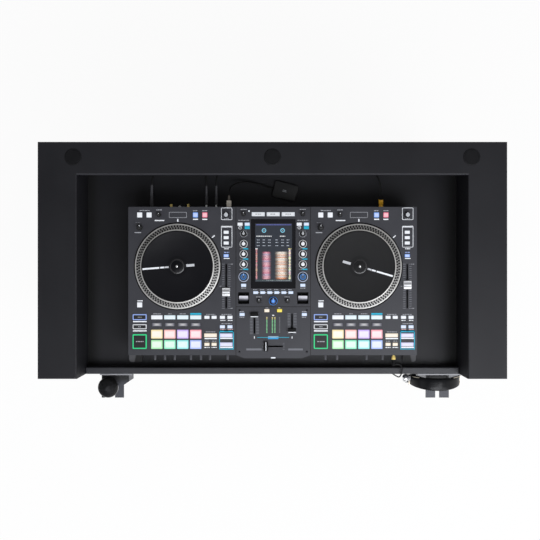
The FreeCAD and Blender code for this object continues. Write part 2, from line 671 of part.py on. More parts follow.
plate_left = {"left": console_left, "right": mixer_right}
for side, left in DECK_LEFT.items():
    start = plate_left[side] + half_seam
    end = left + DECK_WIDTH - half_seam
    deck_x = left + PLATTER_DX
    deck_y = CONSOLE_FRONT + PLATTER_DY
    fader_x = left + FADER_DX
    pitch_y = CONSOLE_FRONT + PITCH_ROW
    keys = [(left + dx, CONSOLE_FRONT + dy, size) for dx, dy, size in deck_keys]
    pads = [(left + dx, CONSOLE_FRONT + dy, size) for dx, dy, size in deck_pads]
    trims = [(left + dx, CONSOLE_FRONT + dy, radius) for dx, dy, radius in deck_trims]
    openings = [key_hole(*place) for place in keys + pads]
    openings += [knob_hole(x, y) for x, y, radius in trims]
    openings.append(post(deck_x, deck_y, SHAFT_RADIUS + SHAFT_CLEAR, PLATE_UNDER, PLATE_TOP))
    openings.append(fader_slot(fader_x, pitch_y, FADER_STEM_WIDTH + 2 * FADER_PLAY, PITCH_SLOT))
    plate = block(start, end, CONSOLE_FRONT, CONSOLE_REAR, PLATE_UNDER, PLATE_TOP)
    parts[f"{side}_deck_plate"] = plate.cut(openings)
    parts[f"{side}_deck_buttons"] = Part.makeCompound([key_cap(*place) for place in keys])
    parts[f"{side}_pads"] = Part.makeCompound([key_cap(*place) for place in pads])
    trim_knobs += [knob(*place) for place in trims]
    parts[f"{side}_platter"] = turned(deck_x, deck_y, platter_profile)
    parts[f"{side}_record"] = turned(deck_x, deck_y, record_profile)
    bore_radius = SHAFT_RADIUS + RUNNING_FIT
    motor_bore = post(deck_x, deck_y, bore_radius, shaft_end - SHAFT_CLEAR, motor_top + MOTOR_BOSS)
    motors.append(turned(deck_x, deck_y, motor_profile).cut(motor_bore))
    cap_y = pitch_y + PITCH_SETTING[side]
    pitch_stem = (FADER_STEM_WIDTH, PITCH_STEM)
    parts[f"{side}_pitch_cap"] = fader_cap(fader_x, cap_y, PITCH_CAP, PITCH_CAP_HEIGHT, pitch_stem)
parts["platter_motors"] = Part.makeCompound(motors)

# Mixer plate with the display, the channel knobs and the effect paddles
mixer_keys = [(CONSOLE_SHIFT + step * TOP_KEY_PITCH, TOP_ROW, WIDE_KEY) for step in (-1, 0, 1)]
soft_first = CONSOLE_SHIFT - (SOFT_KEYS - 1) / 2 * SOFT_KEY_PITCH
mixer_keys += [(soft_first + index * SOFT_KEY_PITCH, SOFT_ROW, SOFT_KEY) for index in range(SOFT_KEYS)]
mixer_trims = [(CONSOLE_SHIFT + sign * BROWSE_SIDE, BROWSE_ROW, TRIM_KNOB) for sign in SIDES.values()]
channel_knobs = {}
pockets = []
pocket_cuts = []
pocket_bottom = PLATE_UNDER - PADDLE_POCKET_DROP
pin_z = PLATE_TOP - PADDLE_PIN_DROP
for side, sign in SIDES.items():
    column = CONSOLE_SHIFT + sign * COLUMN_OFFSET
    mixer_keys += [(column + shift * PAIR_SPREAD, PAIR_ROW, SMALL_KEY) for shift in (-1, 1)]
    mixer_keys.append((column, FILTER_KEY_ROW, SMALL_KEY))
    mixer_trims.append((column, TOP_ROW, TRIM_KNOB))
    channel_knobs[f"{side}_filter_knob"] = (column, CONSOLE_FRONT + FILTER_ROW, FILTER_KNOB)
    for band, row in zip(("low", "mid", "high"), EQ_ROWS):
        channel_knobs[f"{side}_{band}_knob"] = (column, CONSOLE_FRONT + row, EQ_KNOB)
    channel_knobs[f"{side}_level_knob"] = (column, CONSOLE_FRONT + LEVEL_ROW, LEVEL_KNOB)
    paddle_y = CONSOLE_FRONT + PADDLE_ROW
    width, depth = PADDLE_POCKET
    pin_length = width + 2 * PADDLE_WALL - 2 * STATIC_FIT
    pin_start = V(column - pin_length / 2, paddle_y, pin_z)
    bore_start = V(column - width / 2 - PADDLE_WALL, paddle_y, pin_z)
    pockets.append(centred_block(
        column, paddle_y, width + 2 * PADDLE_WALL, depth + 2 * PADDLE_WALL, pocket_bottom, PLATE_UNDER))
    pocket_cuts.append(centred_block(column, paddle_y, width, depth, pocket_bottom + PADDLE_WALL, PLATE_TOP))
    pocket_cuts.append(bar(PADDLE_PIN_RADIUS + RUNNING_FIT, bore_start, V(1, 0, 0), width + 2 * PADDLE_WALL))
    lever_top = PLATE_TOP + PADDLE_RISE
    lever_bottom = PLATE_TOP - PADDLE_ROOT
    lever = rounded_block(column, paddle_y, PADDLE[0], PADDLE[1], CAP_CORNER, lever_bottom, lever_top)
    lever = lever.makeChamfer(CAP_CHAMFER, edges_at_height(lever, lever_top))
    parts[f"{side}_fx_paddle"] = lever.fuse(bar(PADDLE_PIN_RADIUS, pin_start, V(1, 0, 0), pin_length))
channel_knobs["browse_knob"] = (CONSOLE_SHIFT, CONSOLE_FRONT + BROWSE_ROW, BROWSE_KNOB)
for name, place in channel_knobs.items():
    parts[name] = knob(*place)

mixer_keys = [(x, CONSOLE_FRONT + dy, size) for x, dy, size in mixer_keys]
mixer_trims = [(x, CONSOLE_FRONT + dy, radius) for x, dy, radius in mixer_trims]
trim_knobs += [knob(*place) for place in mixer_trims]
parts["trim_knobs"] = Part.makeCompound(trim_knobs)

display_y = CONSOLE_FRONT + DISPLAY_FRONT + DISPLAY_LENGTH / 2
glass_bottom = PLATE_TOP - DISPLAY_REBATE
opening_width = DISPLAY_WIDTH + 2 * DISPLAY_GAP
opening_length = DISPLAY_LENGTH + 2 * DISPLAY_GAP
glass = centred_block(CONSOLE_SHIFT, display_y, DISPLAY_WIDTH, DISPLAY_LENGTH, glass_bottom, PLATE_TOP)
parts["display_glass"] = glass
mixer_cuts = [centred_block(CONSOLE_SHIFT, display_y, opening_width, opening_length, glass_bottom, PLATE_TOP)]
mixer_cuts.append(centred_block(
    CONSOLE_SHIFT, display_y, DISPLAY_WIDTH - 2 * DISPLAY_LEDGE, DISPLAY_LENGTH - 2 * DISPLAY_LEDGE,
    PLATE_UNDER, PLATE_TOP))
mixer_cuts += [key_hole(*place) for place in mixer_keys]
mixer_cuts += [knob_hole(x, y) for x, y, radius in mixer_trims + list(channel_knobs.values())]
mixer = block(
    mixer_left + half_seam, mixer_right - half_seam, seam_y + half_seam, CONSOLE_REAR, PLATE_UNDER, PLATE_TOP)
parts["mixer_plate"] = mixer.fuse(pockets).removeSplitter().cut(mixer_cuts + pocket_cuts)

# Crossfader plate with its nose, the channel faders and the crossfader
nose_tip = CONSOLE_FRONT - NOSE_REACH
cross_left = mixer_left + half_seam
cross_right = mixer_right - half_seam
cross_end = seam_y - half_seam
cross_outline = [
    (cross_left, cross_end), (cross_left, CONSOLE_FRONT), (cross_left + NOSE_SLANT, nose_tip),
    (cross_right - NOSE_SLANT, nose_tip), (cross_right, CONSOLE_FRONT), (cross_right, cross_end)]
cross_keys = []
cross_cuts = []
for side, sign in SIDES.items():
    channel_x = CONSOLE_SHIFT + sign * CHANNEL_OFFSET
    channel_y = CONSOLE_FRONT + CHANNEL_ROW
    cap_y = channel_y + CHANNEL_SETTING[side]
    channel_stem = (FADER_STEM_WIDTH, CHANNEL_STEM)
    parts[f"{side}_channel_cap"] = fader_cap(channel_x, cap_y, CHANNEL_CAP, CHANNEL_CAP_HEIGHT, channel_stem)
    cross_cuts.append(fader_slot(channel_x, channel_y, FADER_STEM_WIDTH + 2 * FADER_PLAY, CHANNEL_SLOT))
    cross_keys.append((CONSOLE_SHIFT + sign * CROSS_KEY_OFFSET, seam_y - CROSS_KEY_STEP, SMALL_KEY))
    cross_keys.append((CONSOLE_SHIFT + sign * LAMP_KEY_OFFSET, seam_y - LAMP_KEY_STEP, SMALL_KEY))
cross_y = CONSOLE_FRONT + CROSS_FRONT
cross_stem = (CHANNEL_STEM, FADER_STEM_WIDTH)
parts["crossfader_cap"] = fader_cap(
    CONSOLE_SHIFT + CROSS_SETTING, cross_y, CROSS_CAP, CHANNEL_CAP_HEIGHT, cross_stem)
cross_cuts.append(fader_slot(CONSOLE_SHIFT, cross_y, CROSS_SLOT, FADER_STEM_WIDTH + 2 * FADER_PLAY))
cross_cuts += [key_hole(*place) for place in cross_keys]
plate_screws = [
    V(x, y, PLATE_TOP)
    for x in (cross_left + PLATE_SCREW_INSET, cross_right - PLATE_SCREW_INSET)
    for y in (CONSOLE_FRONT + PLATE_SCREW_INSET, cross_end - PLATE_SCREW_INSET)]
plate_bore = PLATE_SCREW_RADIUS + STATIC_FIT
cross_cuts += [post(place.x, place.y, plate_bore, PLATE_UNDER, PLATE_TOP) for place in plate_screws]
parts["crossfader_plate"] = prism(cross_outline, PLATE_UNDER, PLATE_TOP).cut(cross_cuts)
parts["mixer_buttons"] = Part.makeCompound([key_cap(*place) for place in mixer_keys + cross_keys])

# Screws: sunk flush in the cabinet, proud on the holders and the crossfader plate
cabinet_screw = (SCREW_HEAD_RADIUS, SCREW_HEAD_HEIGHT, SCREW_RADIUS)
shank = SCREW_LENGTH - SCREW_HEAD_HEIGHT
rear_seats = [place + inward_rear * SCREW_HEAD_HEIGHT for place in rear_screws]
lip_seats = [place + inward_front * SCREW_HEAD_HEIGHT for place in lip_screws]
screws = [screw(seat, inward_rear, *cabinet_screw, shank) for seat in rear_seats]
screws += [screw(seat, inward_front, *cabinet_screw, shank) for seat in lip_seats]
screws += [screw(place, inward_front, *cabinet_screw, holder_screw_length) for place in holder_screws]
screws += [
    screw(place, V(0, 0, -1), PLATE_SCREW_HEAD, PLATE_SCREW_RISE, PLATE_SCREW_RADIUS, PLATE + KEY_ROOT)
    for place in plate_screws]
parts["screws"] = Part.makeCompound(screws)

# Feet: levelling pads under the base, round pads and flared toes under the console
feet = [
    post(sign * (HALF_WIDTH - FOOT_INSET), y, FOOT_RADIUS, 0, FOOT_HEIGHT)
    for sign in SIDES.values() for y in (FRONT_Y + FOOT_INSET, REAR_Y - FOOT_INSET)]
for x, sign in ((console_left, 1), (console_right, -1)):
    foot_x = x + sign * CONSOLE_FOOT_INSET
    foot_y = CONSOLE_REAR - CONSOLE_FOOT_INSET
    feet.append(post(foot_x, foot_y, CONSOLE_FOOT_RADIUS, SHELF_TOP, TRAY_BOTTOM))
    toe_x = x + sign * (TOE_WIDTH / 2 - TOE_FLARE)
    toe_y = CONSOLE_FRONT + TOE_DEPTH / 2 - TOE_REACH
    feet.append(rounded_block(toe_x, toe_y, TOE_WIDTH, TOE_DEPTH, TOE_CORNER, SHELF_TOP, TRAY_BOTTOM))
parts["rubber_feet"] = Part.makeCompound(feet)

# Sockets and small knobs on the console's rear and front faces
rearward = V(0, 1, 0)
frontward = V(0, -1, 0)
sockets = [bar(RCA_RADIUS, V(console_left + dx, tray_rear, SOCKET_Z), rearward, RCA_LENGTH) for dx in RCA_DX]
sockets.append(bar(POST_RADIUS, V(console_left + POST_DX, tray_rear, SOCKET_Z), rearward, RCA_LENGTH))
for side, columns in FRONT_KNOB_DX.items():
    sockets += [
        bar(FRONT_KNOB_RADIUS, V(DECK_LEFT[side] + dx, tray_front, SOCKET_Z), frontward, FRONT_KNOB_LENGTH)
        for dx in columns]
parts["panel_sockets"] = Part.makeCompound(sockets)


# Plugs in the console: each has a tip or shroud at the case and a round body or relief behind it
def rear_plug(x, shroud, tail):
    width, height, length = shroud
    z0 = SOCKET_Z - height / 2
    housing = block(x - width / 2, x + width / 2, tray_rear, tray_rear + length, z0, z0 + height)
    return housing.fuse(bar(tail[0], V(x, tray_rear + length, SOCKET_Z), rearward, tail[1]))


def jack_plug(x):
    tip = bar(JACK_TIP[0], V(x, tray_rear, SOCKET_Z), rearward, JACK_TIP[1])
    return tip.fuse(bar(JACK_BODY[0], V(x, tray_rear + JACK_TIP[1], SOCKET_Z), rearward, JACK_BODY[1]))


power_x = console_left + POWER_DX
jack_xs = [console_left + dx for dx in JACK_DX]
usb_x = console_left + USB_DX
network_x = DECK_LEFT["right"] + NETWORK_DX
phones_x = DECK_LEFT["right"] + PHONES_DX
plugs = [rear_plug(power_x, POWER_PLUG, POWER_RELIEF), rear_plug(usb_x, USB_PLUG, USB_RELIEF)]
plugs.append(rear_plug(network_x, NETWORK_TIP, NETWORK_BODY))
plugs += [jack_plug(x) for x in jack_xs]
body_width, body_height, body_length = HEADPHONE_BODY
body_front = tray_front - HEADPHONE_TIP[1] - body_length
relief_x = phones_x + body_width / 2
relief_y = body_front + body_width / 2
phones_plug = bar(HEADPHONE_TIP[0], V(phones_x, tray_front, SOCKET_Z), frontward, HEADPHONE_TIP[1])
phones_plug = phones_plug.fuse(centred_block(
    phones_x, body_front + body_length / 2, body_width, body_length,
    SOCKET_Z - body_height / 2, SOCKET_Z + body_height / 2))
relief_start = V(relief_x, relief_y, SOCKET_Z)
phones_plug = phones_plug.fuse(bar(HEADPHONE_RELIEF[0], relief_start, V(1, 0, 0), HEADPHONE_RELIEF[1]))
plugs.append(phones_plug)
parts["lead_plugs"] = Part.makeCompound(plugs)

# Portable drive on the shelf, turned a little
drive_x = CONSOLE_SHIFT + DRIVE_SHIFT
drive_y = REAR_Y - DRIVE_INSET
drive_width, drive_depth, drive_height = DRIVE_SIZE
drive_top = SHELF_TOP + drive_height
drive = rounded_block(drive_x, drive_y, drive_width, drive_depth, DRIVE_CORNER, SHELF_TOP, drive_top)
drive.rotate(V(drive_x, drive_y, 0), UP, DRIVE_TURN)
parts["portable_drive"] = drive

# Leads behind the console: four go down through the grommets, one joins the drive to the console
lead_z = SOCKET_Z
power_tail = tray_rear + POWER_PLUG[2] + POWER_RELIEF[1]
jack_tail = tray_rear + JACK_TIP[1] + JACK_BODY[1]
usb_tail = tray_rear + USB_PLUG[2] + USB_RELIEF[1]
network_tail = tray_rear + NETWORK_TIP[2] + NETWORK_BODY[1]
turn = math.radians(DRIVE_TURN)
drive_exit_x = drive_x - drive_width / 2 * math.cos(turn)
drive_exit_y = drive_y - drive_width / 2 * math.sin(turn)
ends = [(x, y, grommet_top) for x, y in grommet_places]
lead_routes = {
    "power lead": [
        (power_x, power_tail, lead_z), (power_x, 256.0, lead_z), (-306.5, 279.0, 927.0),
        (-298.0, 291.0, 908.5), ends[0]],
    "left audio lead": [
        (jack_xs[0], jack_tail, lead_z), (jack_xs[0], 254.5, lead_z), (-179.5, 277.5, 925.0),
        (-182.0, 291.0, 906.5), ends[1]],
    "right audio lead": [
        (jack_xs[1], jack_tail, lead_z), (jack_xs[1], 254.0, lead_z), (-144.6, 277.0, 925.3),
        (-142.0, 291.0, 906.5), ends[2]],
    "network lead": [
        (network_x, network_tail, lead_z), (network_x, 227.5, lead_z), (285.5, 246.5, 935.2),
        (278.0, 266.0, 931.0), (270.5, 283.0, 918.0), (268.0, 291.0, 904.0), ends[3]],
    "drive lead": [
        (drive_exit_x, drive_exit_y, SHELF_TOP + drive_height / 2), (-15.5, 235.8, 890.0),
        (-38.0, 242.8, 890.6), (-62.0, 246.6, 894.2), (-84.0, 246.4, 903.0), (-101.0, 241.0, 914.8),
        (-111.2, 232.0, 925.6), (usb_x, 219.5, lead_z), (usb_x, usb_tail, lead_z)]}
parts["rear_leads"] = Part.makeCompound(
    [cord_tube(name, route, LEAD_DIAMETER[name]) for name, route in lead_routes.items()])

# Microphone: its collar rests on the fork, the handle hangs through the slot
mic_collar_top = HOLDER_TOP + MIC_COLLAR_HEIGHT
mic_end = HOLDER_TOP - MIC_HANDLE_LENGTH
mic_body = turned(MIC_X, mic_y, [
    (0, mic_end), (MIC_HANDLE_END, mic_end), (MIC_HANDLE_TOP, HOLDER_TOP), (MIC_COLLAR_RADIUS, HOLDER_TOP),
    (MIC_COLLAR_RADIUS, mic_collar_top), (0, mic_collar_top)])
mic_ball = Part.makeSphere(MIC_BALL_RADIUS, V(MIC_X, mic_y, HOLDER_TOP + MIC_BALL_LIFT))
ball_room = 3 * MIC_BALL_RADIUS
above_collar = centred_block(MIC_X, mic_y, ball_room, ball_room, mic_collar_top, mic_collar_top + ball_room)
mic_ball = mic_ball.common(above_collar)
parts["microphone"] = Part.makeCompound([mic_body, mic_ball])


# Headphones: an arch over the fork, feet with swivel pins, and a cup under each foot
def cup_disc(sign, radius, inner, thickness):
    return bar(radius, V(HEADPHONE_X + sign * inner, HEADPHONE_Y, CUP_Z), V(sign, 0, 0), thickness)


def far_rim(sign, disc, distance):
    place = HEADPHONE_X + sign * distance
    return [edge for edge in disc.Edges
            if abs(edge.BoundBox.XMin - place) + abs(edge.BoundBox.XMax - place) < 1e-3]


along = V(0, 1, 0)
band_outer = BAND_RADIUS + BAND_THICK
band_start = V(HEADPHONE_X, HEADPHONE_Y - BAND_WIDTH / 2, BAND_CENTRE)
arch = bar(band_outer, band_start, along, BAND_WIDTH).cut(bar(BAND_RADIUS, band_start, along, BAND_WIDTH))
arch = arch.cut(centred_block(
    HEADPHONE_X, HEADPHONE_Y, 3 * band_outer, 3 * band_outer, BAND_CENTRE - 2 * band_outer, BAND_CENTRE))
rims = [edge for edge in arch.Edges if edge.Curve.TypeId == "Part::GeomCircle"]
arch = arch.makeFillet(BAND_ROUND, rims)
foot_bottom = BAND_CENTRE - ARM_THICK
cup_bottom = CUP_Z - CUP_RADIUS
relief_end = cup_bottom - CORD_RELIEF[1]
for side, sign in SIDES.items():
    axis_x = HEADPHONE_X + sign * CUP_MIDDLE
    foot_ends = sorted((axis_x - sign * 2 * SWIVEL_RADIUS, HEADPHONE_X + sign * band_outer))
    foot_half = BAND_WIDTH / 2 - BAND_ROUND
    foot_sides = (HEADPHONE_Y - foot_half, HEADPHONE_Y + foot_half)
    arch = arch.fuse(block(*foot_ends, *foot_sides, foot_bottom, BAND_CENTRE))
    arch = arch.fuse(post(axis_x, HEADPHONE_Y, SWIVEL_RADIUS, foot_bottom - SWIVEL_LENGTH, foot_bottom))
    shell = cup_disc(sign, CUP_RADIUS, CUP_INNER, CUP_THICK)
    cup_outer = CUP_INNER + CUP_THICK
    shell = shell.makeFillet(CUP_ROUND, far_rim(sign, shell, cup_outer))
    bore_bottom = foot_bottom - SWIVEL_LENGTH - CUP_GAP
    shell = shell.cut(post(axis_x, HEADPHONE_Y, SWIVEL_RADIUS + RUNNING_FIT, bore_bottom, foot_bottom))
    if side == "left":
        shell = shell.fuse(post(axis_x, HEADPHONE_Y, CORD_RELIEF[0], relief_end, cup_bottom + CUP_ROUND))
    cover = cup_disc(sign, CHROME_RADIUS, cup_outer, CHROME_THICK)
    cover = cover.makeFillet(CHROME_ROUND, far_rim(sign, cover, cup_outer + CHROME_THICK))
    cushion_inner = CUP_INNER - CUSHION_THICK
    cushion = cup_disc(sign, CUP_RADIUS, cushion_inner, CUSHION_THICK)
    cushion = cushion.cut(cup_disc(sign, CUSHION_HOLE, cushion_inner, CUSHION_THICK))
    cushion = cushion.makeFillet(CUSHION_ROUND, far_rim(sign, cushion, cushion_inner))
    parts[f"{side}_earcup"] = Part.makeCompound([shell, cover, cushion])
parts["headphone_band"] = arch.removeSplitter()

# Headphone cord: from the plug over the lip, down in a loop, and up into the left cup
headphone_route = [
    (relief_x + HEADPHONE_RELIEF[1], relief_y, SOCKET_Z), (337.0, relief_y, SOCKET_Z), (342.6, -244.9, 935.3),
    (345.9, -250.6, 935.7), (346.1, -257.6, 935.9), (344.8, -265.2, 934.4), (342.8, -272.8, 928.0),
    (341.2, -277.8, 915.0), (340.4, -279.8, 896.0), (340.1, -281.2, 864.0), (341.0, -283.4, 806.0),
    (342.6, -285.6, 747.0), (344.4, -287.6, 688.0), (346.4, -289.3, 632.0), (348.2, -290.7, 576.0),
    (349.8, -292.1, 520.0),
    (350.9, -292.8, 464.0), (351.6, -293.5, 410.0), (352.3, -294.3, 362.0), (354.8, -295.2, 330.0),
    (360.3, -295.8, 312.0), (368.2, -296.3, 303.6), (380.2, -296.8, 303.4), (388.2, -297.3, 311.9),
    (393.4, -298.0, 330.0), (396.0, -298.9, 362.0), (397.4, -299.9, 410.0), (398.7, -300.9, 464.0),
    (399.9, -301.8, 520.0), (400.9, -302.5, 576.0), (401.7, -303.1, 630.0), (402.5, -303.6, 676.0),
    (HEADPHONE_X - CUP_MIDDLE, HEADPHONE_Y, 716.0), (HEADPHONE_X - CUP_MIDDLE, HEADPHONE_Y, relief_end)]
parts["headphone_cord"] = cord_tube("headphone cord", headphone_route, HEADPHONE_CORD_DIAMETER)

os.makedirs("parts", exist_ok=True)
for name, shape in parts.items():
    shape.exportStep(f"parts/{name}.step")
print(len(parts), "nodes")
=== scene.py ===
"""A DJ booth: black cabinet, two-deck console with its leads, and a microphone and headphones on forks.

Lengths are in metres, apart from those of printed marks, which are in millimetres.
"""
import math
import random

import bmesh
import bpy
from mathutils import Matrix, Vector


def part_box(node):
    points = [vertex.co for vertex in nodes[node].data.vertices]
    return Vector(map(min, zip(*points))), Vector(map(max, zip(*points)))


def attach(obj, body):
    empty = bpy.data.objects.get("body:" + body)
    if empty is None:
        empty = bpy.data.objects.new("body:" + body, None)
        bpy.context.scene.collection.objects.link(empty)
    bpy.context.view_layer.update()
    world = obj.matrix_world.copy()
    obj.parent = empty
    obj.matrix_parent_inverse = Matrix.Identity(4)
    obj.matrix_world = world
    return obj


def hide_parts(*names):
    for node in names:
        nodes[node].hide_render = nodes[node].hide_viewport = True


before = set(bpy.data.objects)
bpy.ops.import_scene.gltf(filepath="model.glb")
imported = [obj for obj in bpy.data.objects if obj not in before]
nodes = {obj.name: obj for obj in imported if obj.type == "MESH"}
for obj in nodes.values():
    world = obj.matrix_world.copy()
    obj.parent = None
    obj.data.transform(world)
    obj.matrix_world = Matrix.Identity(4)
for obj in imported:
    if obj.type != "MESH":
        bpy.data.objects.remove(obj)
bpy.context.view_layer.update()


# The cabinet is black laminated board, butt-joined and screwed, with the same laminate banded over
# its edges. Hands and cases have rubbed the arrises a little and left faint wipe marks on the faces.

class Wire:
    """One shader value: arithmetic on it adds Math nodes to its tree."""

    def __init__(self, shading, socket):
        self.shading = shading
        self.socket = socket

    def __add__(self, other):
        return self.shading.maths("ADD", self, other)

    def __sub__(self, other):
        return self.shading.maths("SUBTRACT", self, other)

    def __rsub__(self, other):
        return self.shading.maths("SUBTRACT", other, self)

    def __mul__(self, other):
        return self.shading.maths("MULTIPLY", self, other)

    def __abs__(self):
        return self.shading.maths("ABSOLUTE", self)

    __radd__ = __add__
    __rmul__ = __mul__


class Shading:
    """A tree of shader nodes, and the methods that add nodes to it."""

    def __init__(self, tree):
        self.tree = tree

    def node(self, kind, settings=None, sockets=None, output=0):
        """Adds a node, sets its settings and then its sockets, and gives one of its outputs."""
        made = self.tree.nodes.new("ShaderNode" + kind)
        for setting, value in (settings or {}).items():
            setattr(made, setting, value)
        for socket, value in (sockets or {}).items():
            if isinstance(value, Wire):
                self.tree.links.new(value.socket, made.inputs[socket])
            else:
                made.inputs[socket].default_value = value
        return Wire(self, made.outputs[output])

    def maths(self, operation, *values):
        return self.node("Math", {"operation": operation}, dict(enumerate(values)))

    def vector(self, operation, *values, output=0):
        return self.node("VectorMath", {"operation": operation}, dict(enumerate(values)), output)

    def axes(self, vector):
        """The three parts of a vector."""
        return [self.node("SeparateXYZ", sockets={0: vector}, output=axis) for axis in range(3)]

    def span(self, value, low, high):
        """A value eased from 0 at low to 1 at high."""
        ease = {"interpolation_type": "SMOOTHSTEP"}
        return self.node("MapRange", ease, {"Value": value, "From Min": low, "From Max": high})


class Finish(Shading):
    """A material with one Principled shader, its even values set on the shader's own sockets."""

    def __init__(self, name, even):
        self.material = bpy.data.materials.new(name)
        self.material.use_nodes = True
        super().__init__(self.material.node_tree)
        self.shader = self.tree.nodes["Principled BSDF"]
        for socket, value in even.items():
            self.shader.inputs[socket].default_value = value
        self.place = self.node("TexCoord", output="Object")

    def noise(self, scale, detail=2.0, stretch=(1.0, 1.0, 1.0)):
        """A noise value. A stretch below 1 draws its grain out along that axis."""
        grain = self.vector("MULTIPLY", self.place, stretch)
        return self.node("TexNoise", sockets={"Vector": grain, "Scale": scale, "Detail": detail})

    def mix(self, factor, first, second, blend="MIX"):
        """A colour between two, or another blend of them."""
        settings = {"data_type": "RGBA", "blend_type": blend}
        return self.node("Mix", settings, {0: factor, 6: first, 7: second}, 2)

    def tint(self):
        """The tint that a piece's mesh carries from point to point."""
        return self.node("VertexColor", {"layer_name": "tint"})

    def feed(self, socket, wire):
        self.tree.links.new(wire.socket, self.shader.inputs[socket])

    def bump(self, height, depth):
        """Raises the surface by a height from 0 to 1 times a depth in metres."""
        self.feed("Normal", self.node("Bump", sockets={"Height": height, "Distance": depth}))

    def dress(self, *names):
        """Puts this finish on CAD nodes."""
        for name in names:
            for holder in nodes[name].material_slots:
                holder.material = self.material


def paint(colour, share=1.0):
    """A colour as a socket takes it, made darker or lighter by a share."""
    return [share * part for part in colour] + [1]


BOARD = (0.0070, 0.0070, 0.0090)
# The paler colour of rubbed arrises, also used for the painted highlight on the rim's inner edge.
RUBBED_AND_LIT_BOARD = (0.026, 0.026, 0.031)
# The colour of the painted shade by a board's sides.
SIDE_SHADE = (0.0008, 0.0008, 0.0009)
WELL_SIDE = 0.499


def laminate(node, shade=BOARD, rubbed_and_lit=RUBBED_AND_LIT_BOARD, roughness=0.46, gloss=0.26, highlit_edge=None,
             side_shade_reach=0.0):
    """Black laminate: pores, wipe marks, rubbed arrises, a painted highlight on an edge and painted shade by
    the sides.
    """
    finish = Finish(node + "_laminate", {"Specular IOR Level": gloss})
    low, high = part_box(node)
    depths = []
    for part, near, far in zip(finish.axes(finish.place), low, high):
        depths.append((far - near) / 2 - abs(part - (far + near) / 2))
    deepest = finish.maths("MAXIMUM", finish.maths("MAXIMUM", depths[0], depths[1]), depths[2])
    arris = depths[0] + depths[1] + depths[2] - deepest
    worn_and_lit = (1 - finish.span(arris, 0.0004, 0.0028)) * finish.span(finish.noise(38, 4), 0.4, 0.62)
    # A painted highlight runs along the inner edge, mixed in with the rubbed arrises' paler colour.
    if highlit_edge:
        across, along = finish.axes(finish.place)[:2]
        band = 1 - finish.span(abs(along - highlit_edge), 0.0008, 0.0026)
        worn_and_lit = worn_and_lit + 1.4 * band * (1 - finish.span(abs(across), WELL_SIDE, WELL_SIDE + 0.003))
    cloud = finish.noise(7, 3)
    wipes = finish.noise(16, 3, (1.0, 0.16, 1.0))
    colour = finish.mix(worn_and_lit * 0.6 + 0.25 * cloud, paint(shade), paint(rubbed_and_lit))
    sheen = roughness + 0.16 * (wipes - 0.5) + 0.1 * (cloud - 0.5)
    # Painted shade: the board darkens towards its sides, where the side panels shade it.
    if side_shade_reach:
        side_shade = 1 - finish.span(depths[0], 0.004, side_shade_reach)
        colour = finish.mix(side_shade, colour, paint(SIDE_SHADE))
        sheen = sheen + 0.25 * side_shade
    finish.feed("Base Color", colour)
    finish.feed("Roughness", sheen)
    finish.bump(finish.noise(1500, 2), 0.00007)
    finish.dress(node)


# Where the rim's rear inner edge carries a painted highlight.
RIM_HIGHLIGHT_EDGE = 0.2540
# How far in from the shelf's sides its painted shade reaches.
SHELF_SHADE_REACH = 0.045
LIP = (0.022, 0.0225, 0.0265)
RUBBED_LIP = (0.052, 0.0535, 0.061)
laminate("top_frame", highlit_edge=RIM_HIGHLIGHT_EDGE)
for board in ("left_outer_panel", "right_outer_panel", "left_inner_panel", "right_inner_panel",
              "front_posts", "audience_panel", "base_panel"):
    laminate(board)
laminate("work_shelf", side_shade_reach=SHELF_SHADE_REACH)
laminate("front_lip", LIP, RUBBED_LIP, 0.42, 0.34)


# Three round caps of moulded black plastic close the holes in the rear rim. They push in flush, with a
# shallow ring turned into the top of each.

def circle(radius, height, count=64, flutes=0, depth=0.0):
    """A ring of points about the upright line through the origin, fluted if asked."""
    ring = []
    for index in range(count):
        angle = 2 * math.pi * index / count
        reach = radius - depth * (0.5 - 0.5 * math.cos(flutes * angle))
        ring.append(Vector((reach * math.cos(angle), reach * math.sin(angle), height)))
    return ring


def skin(mesh, rings, tints=(), at=Matrix(), hoop=False):
    """Joins rings of points, low to high, into a closed skin with a tint for each ring."""
    layer = mesh.verts.layers.float_color.get("tint") or mesh.verts.layers.float_color.new("tint")
    loops = []
    for index, ring in enumerate(rings):
        loop = [mesh.verts.new(at @ point) for point in ring]
        for vertex in loop:
            vertex[layer] = (*tints[index], 1) if tints else (1, 1, 1, 1)
        loops.append(loop)
    pairs = list(zip(loops, loops[1:]))
    if hoop:
        pairs.append((loops[-1], loops[0]))
    else:
        mesh.faces.new(reversed(loops[0]))
        mesh.faces.new(loops[-1])
    for low, high in pairs:
        for index in range(len(low)):
            after = (index + 1) % len(low)
            mesh.faces.new((low[index], low[after], high[after], high[index]))


def turn(mesh, profile, at=Matrix(), tints=(), count=64):
    """Spins a profile of (radius, height) pairs about the upright line."""
    skin(mesh, [circle(radius, height, count) for radius, height in profile], tints, at)


SHARP_ANGLE = math.radians(34)


def piece(name, mesh, finish, body, slot, *replaced):
    """Turns a built mesh into a piece that rides on a body and stands for CAD nodes."""
    bmesh.ops.recalc_face_normals(mesh, faces=mesh.faces)
    data = bpy.data.meshes.new(name)
    mesh.to_mesh(data)
    mesh.free()
    data.shade_smooth()
    data.set_sharp_from_angle(angle=SHARP_ANGLE)
    data.materials.append(finish.material)
    thing = bpy.data.objects.new(name, data)
    bpy.context.scene.collection.objects.link(thing)
    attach(thing, body)
    if replaced:
        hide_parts(*replaced)
    return thing


